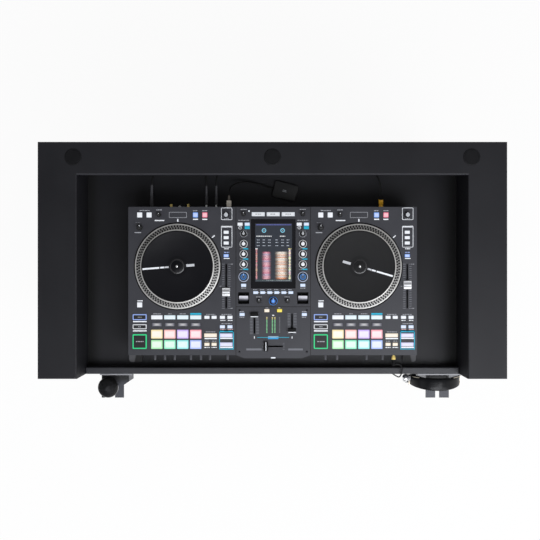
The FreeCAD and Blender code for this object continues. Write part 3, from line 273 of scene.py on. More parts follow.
def islands(node):
    """The box of each separate solid in a CAD node, from the front to the rear and left to right."""
    mesh = nodes[node].data
    group = list(range(len(mesh.vertices)))

    def head(index):
        while group[index] != index:
            group[index] = group[group[index]]
            index = group[index]
        return index

    places = {}
    for vertex in mesh.vertices:
        place = tuple(round(part, 5) for part in vertex.co)
        group[head(vertex.index)] = head(places.setdefault(place, vertex.index))
    for edge in mesh.edges:
        group[head(edge.vertices[0])] = head(edge.vertices[1])
    solids = {}
    for vertex in mesh.vertices:
        solids.setdefault(head(vertex.index), []).append(vertex.co)
    boxes = []
    for points in solids.values():
        low = Vector([min(point[axis] for point in points) for axis in range(3)])
        high = Vector([max(point[axis] for point in points) for axis in range(3)])
        boxes.append((low, high))
    return sorted(boxes, key=lambda box: (round(box[0].y + box[1].y, 3), box[0].x))


def middle_of(box, height=0.0):
    """The middle of a box in plan, at a height."""
    low, high = box
    return Vector(((low.x + high.x) / 2, (low.y + high.y) / 2, height))


def moulded(name, colour, roughness, grain=0.00003, gloss=0.35):
    """Moulded plastic or rubber: a fine spark-eroded grain and slightly uneven gloss."""
    finish = Finish(name, {"Specular IOR Level": gloss})
    cloud = finish.noise(60, 3)
    finish.feed("Base Color", finish.mix(cloud, paint(colour, 0.8), paint(colour, 1.2)))
    finish.feed("Roughness", roughness + 0.2 * (cloud - 0.5))
    finish.bump(finish.noise(2600, 2), grain)
    return finish


caps = bmesh.new()
for low, high in islands("rim_caps"):
    radius = (high.x - low.x) / 2
    top = high.z
    turn(caps, [(radius - 0.0004, low.z), (radius, top - 0.001), (radius - 0.0005, top - 0.0003),
                (radius - 0.0014, top), (radius - 0.0042, top), (radius - 0.0046, top - 0.0004),
                (radius - 0.0054, top - 0.0004), (radius - 0.0058, top), (0.001, top)],
         Matrix.Translation(middle_of((low, high))))
cap_plastic = moulded("cap_plastic", (0.0045, 0.0045, 0.0055), 0.5, gloss=0.16)
piece("rim_hole_caps", caps, cap_plastic, "booth", "black_plastic", "rim_caps")


# Feet and cable grommets are moulded black rubber: pads under the base, feet under the console with toes
# that show at its front corners, and split rings pressed into the shelf.

SHELF_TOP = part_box("work_shelf")[1].z
CONSOLE_MIDDLE = 0.0022
CONSOLE_FRONT = -0.222
TOE_SLANT = 0.22
TOE_START = 0.3690
SOLE = (0.004, 0.004, 0.004)
DUSTY_TOE = (0.085, 0.085, 0.092)
foot_rubber = Finish("foot_rubber", {"Specular IOR Level": 0.35})
chalk = foot_rubber.noise(90, 4)
across, along, upward = foot_rubber.axes(foot_rubber.place)
toe_edge = abs(across - CONSOLE_MIDDLE) + TOE_SLANT * (along - CONSOLE_FRONT)
toes = foot_rubber.span(upward, SHELF_TOP - 0.01, SHELF_TOP)
toes = toes * foot_rubber.span(toe_edge, TOE_START, TOE_START + 0.005)
foot_rubber.feed("Base Color", foot_rubber.mix(toes * 0.8 + 0.06 * chalk, paint(SOLE), paint(DUSTY_TOE)))
foot_rubber.feed("Roughness", 0.62 + 0.2 * (chalk - 0.5))
foot_rubber.bump(foot_rubber.noise(1400, 2), 0.00006)
foot_rubber.dress("rubber_feet", "cable_grommets")


# Black-oxide screws with hex sockets hold the rear panel, the lip, the holders and the crossfader plate.
# Their heads sit flush in counterbores, or a little proud on the crossfader plate.

def metal(name, colour, roughness, brushed=(1.0, 1.0, 1.0), scuff=0.00002, bare=1.0, tinted=False):
    """Bare or plated metal, or metallic paint, with fine tool marks and dulled patches."""
    finish = Finish(name, {"Metallic": bare})
    marks = finish.noise(900, 3, brushed)
    dull = finish.noise(55, 3)
    base = finish.mix(dull, paint(colour, 0.86), paint(colour, 1.1))
    if tinted:
        base = finish.mix(1.0, base, finish.tint(), "MULTIPLY")
    finish.feed("Base Color", base)
    finish.feed("Roughness", roughness + 0.14 * (marks - 0.5) + 0.12 * (dull - 0.5))
    finish.bump(marks, scuff)
    return finish


SCREW_SIDES = 24


def hexagon(across, height):
    """A ring of points on a hexagon, as many as a screw's head has."""
    ring = []
    for index in range(SCREW_SIDES):
        angle = 2 * math.pi * index / SCREW_SIDES
        reach = across / 2 / math.cos((angle + math.pi / 6) % (math.pi / 3) - math.pi / 6)
        ring.append(Vector((reach * math.cos(angle), reach * math.sin(angle), height)))
    return ring


screw_heads = bmesh.new()
for low, high in islands("screws"):
    size = high - low
    middle = (low + high) / 2
    radius = size.x / 2
    if size.z > size.x:
        seat = Vector((middle.x, middle.y, high.z))
        facing = Matrix()
    else:
        rear = low.y > 0
        seat = Vector((middle.x, high.y if rear else low.y, middle.z))
        facing = Matrix.Rotation(math.radians(-90 if rear else 90), 4, "X")
    socket = radius * 0.95
    skin(screw_heads, [circle(radius, -0.004, SCREW_SIDES), circle(radius, -0.0007, SCREW_SIDES),
                       circle(radius * 0.93, -0.0001, SCREW_SIDES), circle(radius * 0.86, 0.0, SCREW_SIDES),
                       hexagon(socket, 0.0), hexagon(socket, -0.0022),
                       circle(radius * 0.1, -0.0026, SCREW_SIDES)], at=Matrix.Translation(seat) @ facing)
screw_oxide = metal("screw_oxide", (0.016, 0.016, 0.018), 0.42)
piece("hex_screws", screw_heads, screw_oxide, "booth", "screw_steel", "screws")


# The two forked holders are folded steel, powder-coated dark grey and screwed to the lip's front face. Their
# coat carries painted light on the wings, a painted highlight on the top edges, painted shade in the fold by
# the lip, and on the microphone's holder the microphone's painted shadow over its left prong.

def coated(name, colour, roughness, peel=0.00009, gloss=0.4):
    """Powder coat: orange-peel dimples and pale dust in them."""
    finish = Finish(name, {"Specular IOR Level": gloss})
    dimples = finish.noise(620, 3)
    patch = finish.noise(24, 3)
    speck = finish.span(finish.noise(1900, 2), 0.5, 0.74)
    finish.feed("Base Color", finish.mix(speck * 0.3 + patch * 0.2, paint(colour), paint(colour, 2.2)))
    finish.feed("Roughness", roughness + 0.18 * (patch - 0.5))
    finish.bump(dimples, peel)
    return finish


HOLDER_COAT = (0.058, 0.060, 0.072)
# Painted shade and shadow, painted light on the wings, and a painted highlight on the top edge.
HOLDER_SHADOW = (0.002, 0.002, 0.002)
WING_LIGHT = (0.165, 0.165, 0.170)
CREST_HIGHLIGHT = (0.30, 0.30, 0.32)
COAT_EDGE = 0.001


def folded_steel(node, lit_wings, shadow_edge=None):
    """Powder coat: painted light on the wings, a painted highlight on top, painted shade in the fold and left
    of an edge.
    """
    finish = coated(node + "_coat", HOLDER_COAT, 0.46)
    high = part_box(node)[1]
    across, along, upward = finish.axes(finish.place)
    # Painted light on the wings.
    lit_right_wing = finish.span(across, lit_wings[1] - COAT_EDGE, lit_wings[1] + COAT_EDGE)
    lit_wing = lit_right_wing + 1 - finish.span(across, lit_wings[0] - COAT_EDGE, lit_wings[0] + COAT_EDGE)
    # Painted shade in the fold by the lip.
    fold_shade = finish.span(along, high.y - 0.034, high.y - 0.014) * (1 - lit_wing)
    crest = finish.span(upward, high.z - 0.0016, high.z - 0.0006)
    coat = finish.mix(fold_shade * 0.94, paint(HOLDER_COAT), paint(HOLDER_SHADOW))
    # The microphone's painted shadow, left of an edge.
    if shadow_edge is not None:
        prong_shadow = 1 - finish.span(across, shadow_edge - COAT_EDGE, shadow_edge)
        coat = finish.mix(prong_shadow, coat, paint(HOLDER_SHADOW))
    coat = finish.mix(lit_wing, coat, paint(WING_LIGHT))
    # A painted highlight along the top edge.
    coat = finish.mix(crest, coat, paint(CREST_HIGHLIGHT))
    speck = finish.mix(finish.noise(1300, 3), (0.7, 0.7, 0.7, 1), (1.2, 1.2, 1.2, 1))
    finish.feed("Base Color", finish.mix(1.0, coat, speck, "MULTIPLY"))
    finish.dress(node)


# Where the painted light on the wings starts, and left of which the microphone's painted shadow falls.
MIC_LIT_WINGS = (-0.480, -0.3890)
MIC_SHADOW_EDGE = -0.4520
HEADPHONE_LIT_WINGS = (0.4165, 0.4795)
folded_steel("microphone_holder", MIC_LIT_WINGS, MIC_SHADOW_EDGE)
folded_steel("headphone_holder", HEADPHONE_LIT_WINGS)


# The console's case is a moulded tray, and four powder-coated plates close its top: one for each deck,
# one for the mixer and one, screwed at its corners, for the crossfader.

tray_plastic = moulded("tray_plastic", (0.0065, 0.0065, 0.0070), 0.6, 0.00005, 0.2)
tray_plastic.dress("console_tray")
plate_coat = coated("plate_coat", (0.0235, 0.0240, 0.0300), 0.44, 0.00006, 0.42)
plate_coat.dress("left_deck_plate", "right_deck_plate", "mixer_plate", "crossfader_plate")
PLATE_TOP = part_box("left_deck_plate")[1].z


# Each deck has a motor-driven platter: cast metal, turned bright, with two lips and between them a sloping
# band that carries two rows of black strobe dots, which join as slanted bars. The outer lip and the band are
# tinted darker than the inner lip, as painted shade. It turns on a steel spindle, over a black ring that
# stands for the gap to the plate and the shade in it.

def rounded(width, depth, corner, height, steps=3):
    """A ring of points on a rectangle with rounded corners, about the upright line."""
    ring = []
    for quarter, (across, along) in enumerate(((1, 1), (-1, 1), (-1, -1), (1, -1))):
        middle = Vector((across * (width / 2 - corner), along * (depth / 2 - corner), height))
        for step in range(steps + 1):
            angle = math.pi / 2 * (quarter + step / steps)
            ring.append(middle + Vector((corner * math.cos(angle), corner * math.sin(angle), 0)))
    return ring


DISC_SIDES = 180
STROBE_DOTS = 88
STROBE_LEAN = -0.36
DOT_ROWS = (0.0066, 0.0120)
BAND_OUTER = 0.0029
BAND_INNER = 0.0156
BAND_LOW = 0.0070
BAND_HIGH = 0.0134
BAND_FALL = math.atan2(BAND_HIGH - BAND_LOW, BAND_INNER - BAND_OUTER)
INNER_LIP_TINT = (1.0, 1.0, 1.0)
# The outer lip and the band are tinted darker than the inner lip, as painted shade.
OUTER_LIP_SHADE = (0.86, 0.86, 0.86)
BAND_SHADE = (0.38, 0.38, 0.38)
SEAT_TINT = (0.08, 0.08, 0.08)
motor_plastic = moulded("motor_plastic", (0.02, 0.02, 0.02), 0.6)
motor_plastic.dress("platter_motors")
lip_metal = metal("lip_metal", (0.66, 0.65, 0.63), 0.44, bare=0.62, tinted=True)
band_coat = coated("dot_paint", (0.004, 0.004, 0.0045), 0.5, gloss=0.12)
spindle_steel = metal("spindle_steel", (0.72, 0.72, 0.72), 0.24)
for side in ("left", "right"):
    low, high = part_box(side + "_platter")
    reach = (high.x - low.x) / 2
    at = Matrix.Translation(middle_of((low, high), PLATE_TOP))
    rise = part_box(side + "_record")[0].z - PLATE_TOP

    disc = bmesh.new()
    outer_lip = [(0.02, 0.0015), (reach - 0.0016, 0.0015), (reach, 0.0026), (reach, 0.0052),
                 (reach - 0.0006, 0.0064), (reach - 0.0010, 0.0067), (reach - 0.0025, 0.0073),
                 (reach - 0.0027, 0.0070)]
    band = [(reach - BAND_OUTER, BAND_LOW), (reach - BAND_INNER, BAND_HIGH)]
    inner_lip = [(reach - 0.0157, 0.0174), (reach - 0.0159, 0.0177), (reach - 0.0176, 0.0185),
                 (reach - 0.0178, 0.0186)]
    seat = [(reach - 0.0179, rise - 0.0014), (0.02, rise - 0.0014)]
    tints = [OUTER_LIP_SHADE] * len(outer_lip) + [BAND_SHADE] * len(band)
    tints += [INNER_LIP_TINT] * len(inner_lip) + [SEAT_TINT] * len(seat)
    turn(disc, outer_lip + band + inner_lip + seat, at, tints, DISC_SIDES)
    piece(side + "_platter_disc", disc, lip_metal, side + "_platter", "platter_metal", side + "_platter")

    dots = bmesh.new()
    for row, inset in enumerate(DOT_ROWS):
        height = BAND_LOW + (BAND_HIGH - BAND_LOW) * (inset - BAND_OUTER) / (BAND_INNER - BAND_OUTER)
        for index in range(STROBE_DOTS):
            angle = 2 * math.pi * (index + STROBE_LEAN * row) / STROBE_DOTS
            spot = (at @ Matrix.Rotation(angle, 4, "Z") @ Matrix.Translation((reach - inset, 0, height))
                    @ Matrix.Rotation(BAND_FALL, 4, "Y"))
            skin(dots, [rounded(0.0060, 0.0041, 0.0014, -0.0004), rounded(0.0060, 0.0041, 0.0014, 0.0001),
                        rounded(0.0055, 0.0036, 0.0012, 0.0002)], at=spot)
    piece(side + "_strobe_dots", dots, band_coat, side + "_platter", "black_plastic")

    # A black ring at the platter's foot stands for the gap to the plate and the painted shade in it.
    gap_shade = bmesh.new()
    turn(gap_shade, [(reach - 0.0060, 0.0001), (reach + 0.0030, 0.0001), (reach + 0.0034, 0.0003),
                  (reach + 0.0030, 0.0006), (reach - 0.0060, 0.0006)], at, count=DISC_SIDES)
    piece(side + "_platter_gasket", gap_shade, band_coat, "booth", "rubber")

    spindle = bmesh.new()
    top = high.z - PLATE_TOP
    turn(spindle, [(0.0034, 0.015), (0.0034, top - 0.003), (0.0028, top - 0.0012), (0.0016, top - 0.0003),
                   (0.0004, top)], at, count=32)
    piece(side + "_spindle", spindle, spindle_steel, side + "_platter", "platter_metal")


# A seven-inch vinyl control record lies on each platter, the left one glossy and the right one matt. A
# white marker line, a short bar and a raised hub ring are printed and pressed on it.

def vinyl(name, centre, shade, roughness, gloss):
    """Pressed vinyl: fine concentric grooves, with wider gaps and dull tracks among them."""
    finish = Finish(name, {"Specular IOR Level": gloss})
    flat = finish.vector("MULTIPLY", finish.vector("SUBTRACT", finish.place, centre), (1.0, 1.0, 0.0))
    reach = finish.vector("LENGTH", flat, output="Value")
    groove = finish.maths("SINE", reach * 6800)
    tracks = finish.node("TexNoise", {"noise_dimensions": "1D"},
                         {"W": reach, "Scale": 520.0, "Detail": 3.0})
    grooved = finish.span(reach, 0.026, 0.028) * (1 - finish.span(reach, 0.0875, 0.0890))
    finish.feed("Base Color", finish.mix(tracks * grooved, paint(shade), paint(shade, 1.7)))
    finish.feed("Roughness", roughness + 0.22 * (tracks - 0.5) * grooved)
    finish.bump(groove * grooved * 0.5 + finish.noise(1200, 2) * 0.5, 0.00004)
    return finish


class Print:
    """Thin raised marks on a surface, laid out in millimetres from a point of it."""

    INK = 0.00016
    HOOP_SIDES = 40

    def __init__(self, corner, level):
        self.mesh = bmesh.new()
        self.origin = Vector((corner[0], corner[1], level))

    def spot(self, x, y, angle=0.0):
        place = self.origin + Vector((x / 1000, y / 1000, 0))
        return Matrix.Translation(place) @ Matrix.Rotation(math.radians(angle), 4, "Z")

    def bar(self, x, y, width, depth, tint, angle=0.0, corner=0.3):
        """A filled mark about a middle."""
        outline = [width / 1000, depth / 1000, corner / 1000]
        skin(self.mesh, [rounded(*outline, -self.INK), rounded(*outline, self.INK)], (tint, tint),
             self.spot(x, y, angle))

    def frame(self, x, y, width, depth, line, tint, corner=2.0):
        """An outlined mark about a middle."""
        outer = [width / 1000, depth / 1000, corner / 1000]
        inner = [(width - 2 * line) / 1000, (depth - 2 * line) / 1000, max(corner - line, 0.2) / 1000]
        skin(self.mesh, [rounded(*outer, -self.INK), rounded(*outer, self.INK), rounded(*inner, self.INK),
                         rounded(*inner, -self.INK)], (tint,) * 4, self.spot(x, y), hoop=True)

    def hoop(self, x, y, radius, line, tint):
        """A printed ring about a middle."""
        outer = radius / 1000
        inner = (radius - line) / 1000
        rings = [circle(outer, -self.INK, self.HOOP_SIDES), circle(outer, self.INK, self.HOOP_SIDES),
                 circle(inner, self.INK, self.HOOP_SIDES), circle(inner, -self.INK, self.HOOP_SIDES)]
        skin(self.mesh, rings, (tint,) * 4, self.spot(x, y), hoop=True)

    def words(self, x, y, width, tint, height=1.5):
        """A row of short dashes that stands for a legend."""
        start = x - width / 2
        while start < x + width / 2 - 1.2:
            length = min(random.uniform(2.2, 6.5), x + width / 2 - start)
            self.bar(start + length / 2, y, length, height, tint)
            start += length + 1.1


def inked(name, roughness):
    """Screen-printed ink in the marks' own tints, a little thin in places."""
    finish = Finish(name, {"Specular IOR Level": 0.3, "Roughness": roughness})
    thin = finish.mix(finish.noise(900, 3), (0.8, 0.8, 0.8, 1), (1, 1, 1, 1))
    finish.feed("Base Color", finish.mix(1.0, finish.tint(), thin, "MULTIPLY"))
    return finish


random.seed(5)
ink = inked("legend_ink", 0.5)
hub_gloss = coated("hub_gloss", (0.006, 0.006, 0.007), 0.24, peel=0.00002, gloss=0.7)
WHITE_INK = (0.84, 0.86, 0.90)
LIGHT_INK = (0.52, 0.53, 0.56)
GREY_INK = (0.38, 0.39, 0.42)
VINYL_GLOSS = 0.12
RECORDS = {"left": (184.6, (0.0040, 0.0040, 0.0052), 0.36), "right": (-16.4, (0.0105, 0.0105, 0.0110), 0.6)}
RECORD_MARKS = ((46, 90.0, 4.4, WHITE_INK), (33.5, 43.5, 4.2, WHITE_INK), (21.5, 32.5, 4.2, LIGHT_INK),
                (-45, -24, 6.6, LIGHT_INK))
for side, (bearing, shade, roughness) in RECORDS.items():
    low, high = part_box(side + "_record")
    reach = (high.x - low.x) / 2
    centre = middle_of((low, high), low.z)
    at = Matrix.Translation(centre)
    top = high.z - low.z
    disc = bmesh.new()
    turn(disc, [(0.0045, 0.0), (reach - 0.0004, 0.0), (reach, 0.0006), (reach, 0.0016),
                (reach - 0.0007, 0.0021), (reach - 0.0018, 0.0021), (reach - 0.0026, 0.0018),
                (0.0274, 0.0018), (0.0190, 0.0017), (0.0158, 0.0017), (0.0154, 0.0019), (0.0045, 0.0019)], at,
         count=DISC_SIDES)
    vinyl_finish = vinyl(side + "_vinyl", centre, shade, roughness, VINYL_GLOSS)
    piece(side + "_vinyl_disc", disc, vinyl_finish, side + "_record", "record_vinyl", side + "_record")
    hub = bmesh.new()
    turn(hub, [(0.0192, 0.0016), (0.0188, 0.0019), (0.0174, top), (0.0166, top), (0.0158, 0.0018)], at,
         count=120)
    piece(side + "_hub_ring", hub, hub_gloss, side + "_record", "record_vinyl")
    marks = Print(centre, centre.z + 0.0018)
    heading = math.radians(bearing)
    for near, far, width, tint in RECORD_MARKS:
        along = (near + far) / 2
        marks.bar(along * math.cos(heading), along * math.sin(heading), far - near, width, tint, bearing)
    piece(side + "_record_marks", marks.mesh, ink, side + "_record", "record_vinyl")


# The keys are translucent silicone and plastic caps, lit from below in white or a colour, in holes cut in
# the plates. Sync, cue and play are dark caps with a lit frame, and each bank presses on its own springs.

def lit(name, base, glow):
    """Translucent caps lit from below in their own tints, with a soft moulded grain."""
    finish = Finish(name, {"Specular IOR Level": 0.4, "Emission Strength": glow})
    dust = finish.noise(140, 3)
    dusty = finish.mix(dust, (0.9, 0.9, 0.9, 1), (1, 1, 1, 1))
    finish.feed("Base Color", finish.mix(base, (0, 0, 0, 1), finish.tint()))
    finish.feed("Emission Color", finish.mix(1.0, finish.tint(), dusty, "MULTIPLY"))
    finish.feed("Roughness", 0.38 + 0.2 * (dust - 0.5))
    finish.bump(finish.noise(2200, 2), 0.00003)
    return finish


def lightened(tint, share):
    """A tint moved towards white."""
    return tuple(part + (1 - part) * share for part in tint)


def cap(mesh, box, edge, middle, corner=0.0009, bevel=0.0006, dish=0.0, focus=(0.72, 0.5)):
    """One key cap in its box: rounded shoulders, and a tint that runs from its edge to a focus on top."""
    low, high = box
    width, depth = high.x - low.x, high.y - low.y
    top = high.z
    dim = tuple(0.45 * part for part in edge)
    inner = [width * focus[0], depth * focus[1]]
    skin(mesh, [rounded(width, depth, corner, low.z), rounded(width, depth, corner, top - bevel),
                rounded(width - 0.6 * bevel, depth - 0.6 * bevel, corner, top - 0.3 * bevel),
                rounded(width - 2 * bevel, depth - 2 * bevel, corner, top),
                rounded(*inner, corner, top - dish),
                rounded(inner[0] * 0.4, inner[1] * 0.4, corner / 3, top - 1.2 * dish)],
         (dim, dim, edge, edge, middle, middle), Matrix.Translation(middle_of(box)))


KEY_PANEL = (0.012, 0.012, 0.014)
PANEL_DROP = 0.0009


def framed_cap(mesh, box, glow, line):
    """A dark cap with a lit frame standing round a sunken panel."""
    low, high = box
    width, depth = high.x - low.x, high.y - low.y
    top = high.z
    dim = tuple(0.4 * part for part in glow)
    inner = [width - 2 * line, depth - 2 * line]
    sunk = [inner[0] - 0.0004, inner[1] - 0.0004]
    skin(mesh, [rounded(width, depth, 0.0022, low.z), rounded(width, depth, 0.0022, top - 0.0007),
                rounded(width - 0.0012, depth - 0.0012, 0.0020, top), rounded(*inner, 0.0012, top),
                rounded(*inner, 0.0012, top - 0.0002), rounded(*sunk, 0.0011, top - PANEL_DROP),
                rounded(sunk[0] * 0.6, sunk[1] * 0.6, 0.001, top - PANEL_DROP)],
         (dim, dim, glow, glow, KEY_PANEL, KEY_PANEL, KEY_PANEL), Matrix.Translation(middle_of(box)))


SIZE_SLACK = 0.0006


def of_size(boxes, width, depth):
    """The caps of one size, from the front to the rear and left to right."""
    found = []
    for box in boxes:
        size = box[1] - box[0]
        if abs(size.x - width) < SIZE_SLACK and abs(size.y - depth) < SIZE_SLACK:
            found.append(box)
    return found


WHITE = (0.86, 0.90, 0.97)
PALE = (0.66, 0.70, 0.76)
COOL = (0.62, 0.76, 1.0)
CREAM = (0.95, 0.82, 0.64)
YELLOW = (1.0, 0.80, 0.06)
BLUE = (0.20, 0.42, 1.0)
RED = (1.0, 0.22, 0.34)
LILAC = (0.66, 0.66, 0.95)
PALE_AQUA = (0.70, 0.86, 0.94)
DIM = (0.09, 0.09, 0.12)
PLAY_GREEN = (0.04, 0.80, 0.30)
SYNC_WHITE = (0.78, 0.80, 0.84)
CUE_BLUE = (0.34, 0.48, 0.95)
KEY_LEGEND = (0.20, 0.21, 0.24)
PADS = ((0.40, 0.90, 0.44), (0.26, 0.90, 0.58), (0.28, 0.86, 0.86), (0.38, 0.52, 1.0),
        (1.0, 0.83, 0.46), (1.0, 0.52, 0.50), (0.62, 0.44, 0.96), (1.0, 0.40, 0.48))
SMALL_KEY = (0.013, 0.008)
PLAY_KEY = (0.037, 0.038)
SCREEN_KEY = (0.034, 0.0104)
PLAIN_FOCUS = (0.72, 0.5)
DIM_FOCUS = (0.2, 0.4)
DECK_KEYS = (((0.013, 0.013), (WHITE, WHITE, WHITE, BLUE, RED)),
             (SMALL_KEY, (CREAM, CREAM, COOL, COOL, WHITE, WHITE, WHITE, WHITE, BLUE, WHITE, WHITE, WHITE)),
             ((0.0326, 0.0096), (LILAC, CREAM, LILAC)),
             ((0.029, 0.0104), (WHITE, PALE_AQUA, PALE_AQUA, PALE_AQUA)),
             ((0.025, 0.009), (DIM, DIM, DIM, DIM)))
FRAMED_KEYS = ((PLAY_KEY, PLAY_GREEN, 0.0028), ((0.0365, 0.013), SYNC_WHITE, 0.0022),
               ((0.0365, 0.0156), CUE_BLUE, 0.0025))
MIXER_KEYS = ((SCREEN_KEY, (PALE, PALE, PALE)), ((0.0125, 0.007), (COOL,) * 6),
              (SMALL_KEY, (COOL, COOL, CREAM, YELLOW, COOL, COOL, WHITE, COOL, WHITE, COOL)))
key_glow = lit("key_glow", 0.30, 0.66)
pad_glow = lit("pad_glow", 0.30, 0.66)
for side in ("left", "right"):
    boxes = islands(side + "_deck_buttons")
    keys = bmesh.new()
    for size, tints in DECK_KEYS:
        for box, tint in zip(of_size(boxes, *size), tints):
            cap(keys, box, tint, lightened(tint, 0.45), focus=DIM_FOCUS if tint == DIM else PLAIN_FOCUS)
    for size, glow, line in FRAMED_KEYS:
        for box in of_size(boxes, *size):
            framed_cap(keys, box, glow, line)
    piece(side + "_key_caps", keys, key_glow, side + "_key_bank", "lit_keys", side + "_deck_buttons")
    pads = bmesh.new()
    for box, tint in zip(islands(side + "_pads"), PADS):
        cap(pads, box, tint, lightened(tint, 0.72), 0.0016, 0.0011, 0.0004)
    piece(side + "_pad_caps", pads, pad_glow, side + "_pad_bank", "lit_pads", side + "_pads")

mixer_keys = bmesh.new()
boxes = islands("mixer_buttons")
for size, tints in MIXER_KEYS:
    for box, tint in zip(of_size(boxes, *size), tints):
        cap(mixer_keys, box, tint, lightened(tint, 0.4 if tint != YELLOW else 0.1))
piece("mixer_key_caps", mixer_keys, key_glow, "mixer_key_bank", "lit_keys", "mixer_buttons")
key_words = Print((0, 0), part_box("mixer_buttons")[1].z)
for box in of_size(boxes, *SCREEN_KEY):
    spot = middle_of(box)
    key_words.words(spot.x * 1000, spot.y * 1000, 15, KEY_LEGEND, 2.0)
piece("mixer_key_print", key_words.mesh, ink, "mixer_key_bank", "lit_keys")


# The decks' legends are screen-printed on the plates in white, grey and a light blue: rows of dashes where
# words would be, frames round groups of keys, a scale beside each pitch slot and marks by each platter.

CYAN = (0.01, 0.42, 0.62)
PALE_CYAN = (0.35, 0.7, 0.85)
DUSK = (0.155, 0.16, 0.18)
ROSE_INK = (0.55, 0.36, 0.34)
BLUE_INK = (0.28, 0.36, 0.62)
WARM_INK = (0.36, 0.34, 0.30)
DECK_EDGE = 0.1287
MARK_BEARING = 40
for side in ("left", "right"):
    platter_middle = middle_of(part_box(side + "_platter"))
    corner = Vector((platter_middle.x - DECK_EDGE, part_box(side + "_deck_plate")[0].y, 0))
    sheet = Print(corner, PLATE_TOP)
    sheet.words(42.5, 376.5, 26, GREY_INK, 1.8)
    sheet.words(80, 378, 15, GREY_INK, 2.2)
    sheet.bar(81, 350.5, 25, 3.0, WHITE_INK)
    sheet.frame(129, 365, 46, 15, 1.0, GREY_INK)
    for x in (175, 199):
        sheet.words(x, 376, 13, GREY_INK, 2.4)
        sheet.bar(x, 353.6, 13, 3.2, WHITE_INK)
    sheet.frame(256, 368, 29, 32, 1.3, WHITE_INK, 3.0)
    sheet.words(256, 355.5, 12, GREY_INK)
    sheet.frame(256, 309, 29, 57, 1.4, WHITE_INK, 3.0)
    sheet.bar(256, 335, 27, 4.6, WHITE_INK)
    sheet.words(256, 277, 13, WHITE_INK, 2.6)
    sheet.words(256, 267.5, 13, BLUE_INK, 2.8)
    sheet.bar(256, 251.8, 15, 2.2, WHITE_INK)
    for tick in range(21):
        y = 122 + 115 * tick / 20
        length = 7.5 if tick % 5 == 0 else 6.0
        for reach in (-8, 8):
            sheet.bar(255 + reach, y, length, 1.6, DUSK)
    sheet.words(269, 237, 7, GREY_INK)
    sheet.words(269, 122, 7, GREY_INK)
    sheet.bar(240, 179.5, 5, 1.2, GREY_INK)
    sheet.bar(25, 319, 17, 2.4, GREY_INK)
    sheet.words(25, 345, 12, DUSK)
    sheet.bar(30.5, 141.5, 14, 2.4, WHITE_INK)
    sheet.bar(30, 87.4, 36, 3.0, WHITE_INK)
    sheet.bar(30, 63.2, 36, 3.0, WHITE_INK)
    for x, width in ((74.6, 20), (108.3, 9), (142.2, 17)):
        sheet.words(x, 107.6, width, GREY_INK, 1.8)
    sheet.bar(175.6, 107.4, 29, 4.4, CYAN)
    sheet.words(214.5, 106.2, 24, GREY_INK, 1.6)
    sheet.words(255.5, 106.2, 26, GREY_INK, 1.6)
    for x in (246, 265.6):
        sheet.words(x, 90.6, 13, WHITE_INK, 2.2)
        sheet.words(x, 67.2, 13, ROSE_INK, 2.2)
    sheet.words(255.5, 82, 26, GREY_INK, 1.6)
    sheet.words(214.5, 60.6, 26, GREY_INK, 1.8)
    sheet.bar(214.5, 43.4, 32, 3.2, WHITE_INK)
    for x in (205, 223.6):
        sheet.words(x, 36.4, 11, GREY_INK)
        sheet.words(x, 20.2, 14, WHITE_INK, 2.2)
    sheet.frame(255.5, 40, 38, 50, 2.0, CYAN, 1.2)
    sheet.bar(255.5, 62.6, 38, 5.0, CYAN)
    sheet.words(255.5, 62.6, 12, PALE_CYAN, 1.4)
    sheet.bar(255.5, 44, 33, 3.4, WHITE_INK)
    sheet.bar(255.5, 20.4, 33, 3.4, WHITE_INK)
    middle = (platter_middle - corner) * 1000
    sheet.bar(middle.x, middle.y + 120, 3.4, 7.6, WHITE_INK)
    bearing = math.radians(MARK_BEARING)
    sheet.bar(middle.x + 121 * math.cos(bearing), middle.y + 121 * math.sin(bearing), 9, 2.8, WHITE_INK,
              MARK_BEARING)
    piece(side + "_deck_print", sheet.mesh, ink, "booth", "console_plate")
    play_key = of_size(islands(side + "_deck_buttons"), *PLAY_KEY)[0]
    dash = Print(corner, play_key[1].z - PANEL_DROP)
    dash.words(30, 35.5, 20, GREY_INK, 2.2)
    dash.words(30, 74, 9, GREY_INK, 2.0)
    dash.words(30, 99, 10, WARM_INK, 2.0)
    piece(side + "_key_print", dash.mesh, ink, side + "_key_bank", "lit_keys")


# The mixer's legends are printed in the same inks, and its lamps show through windows in the plates: level
# meters in green and yellow, rings about the tone knobs, small dots and the lamp in the console's nose.

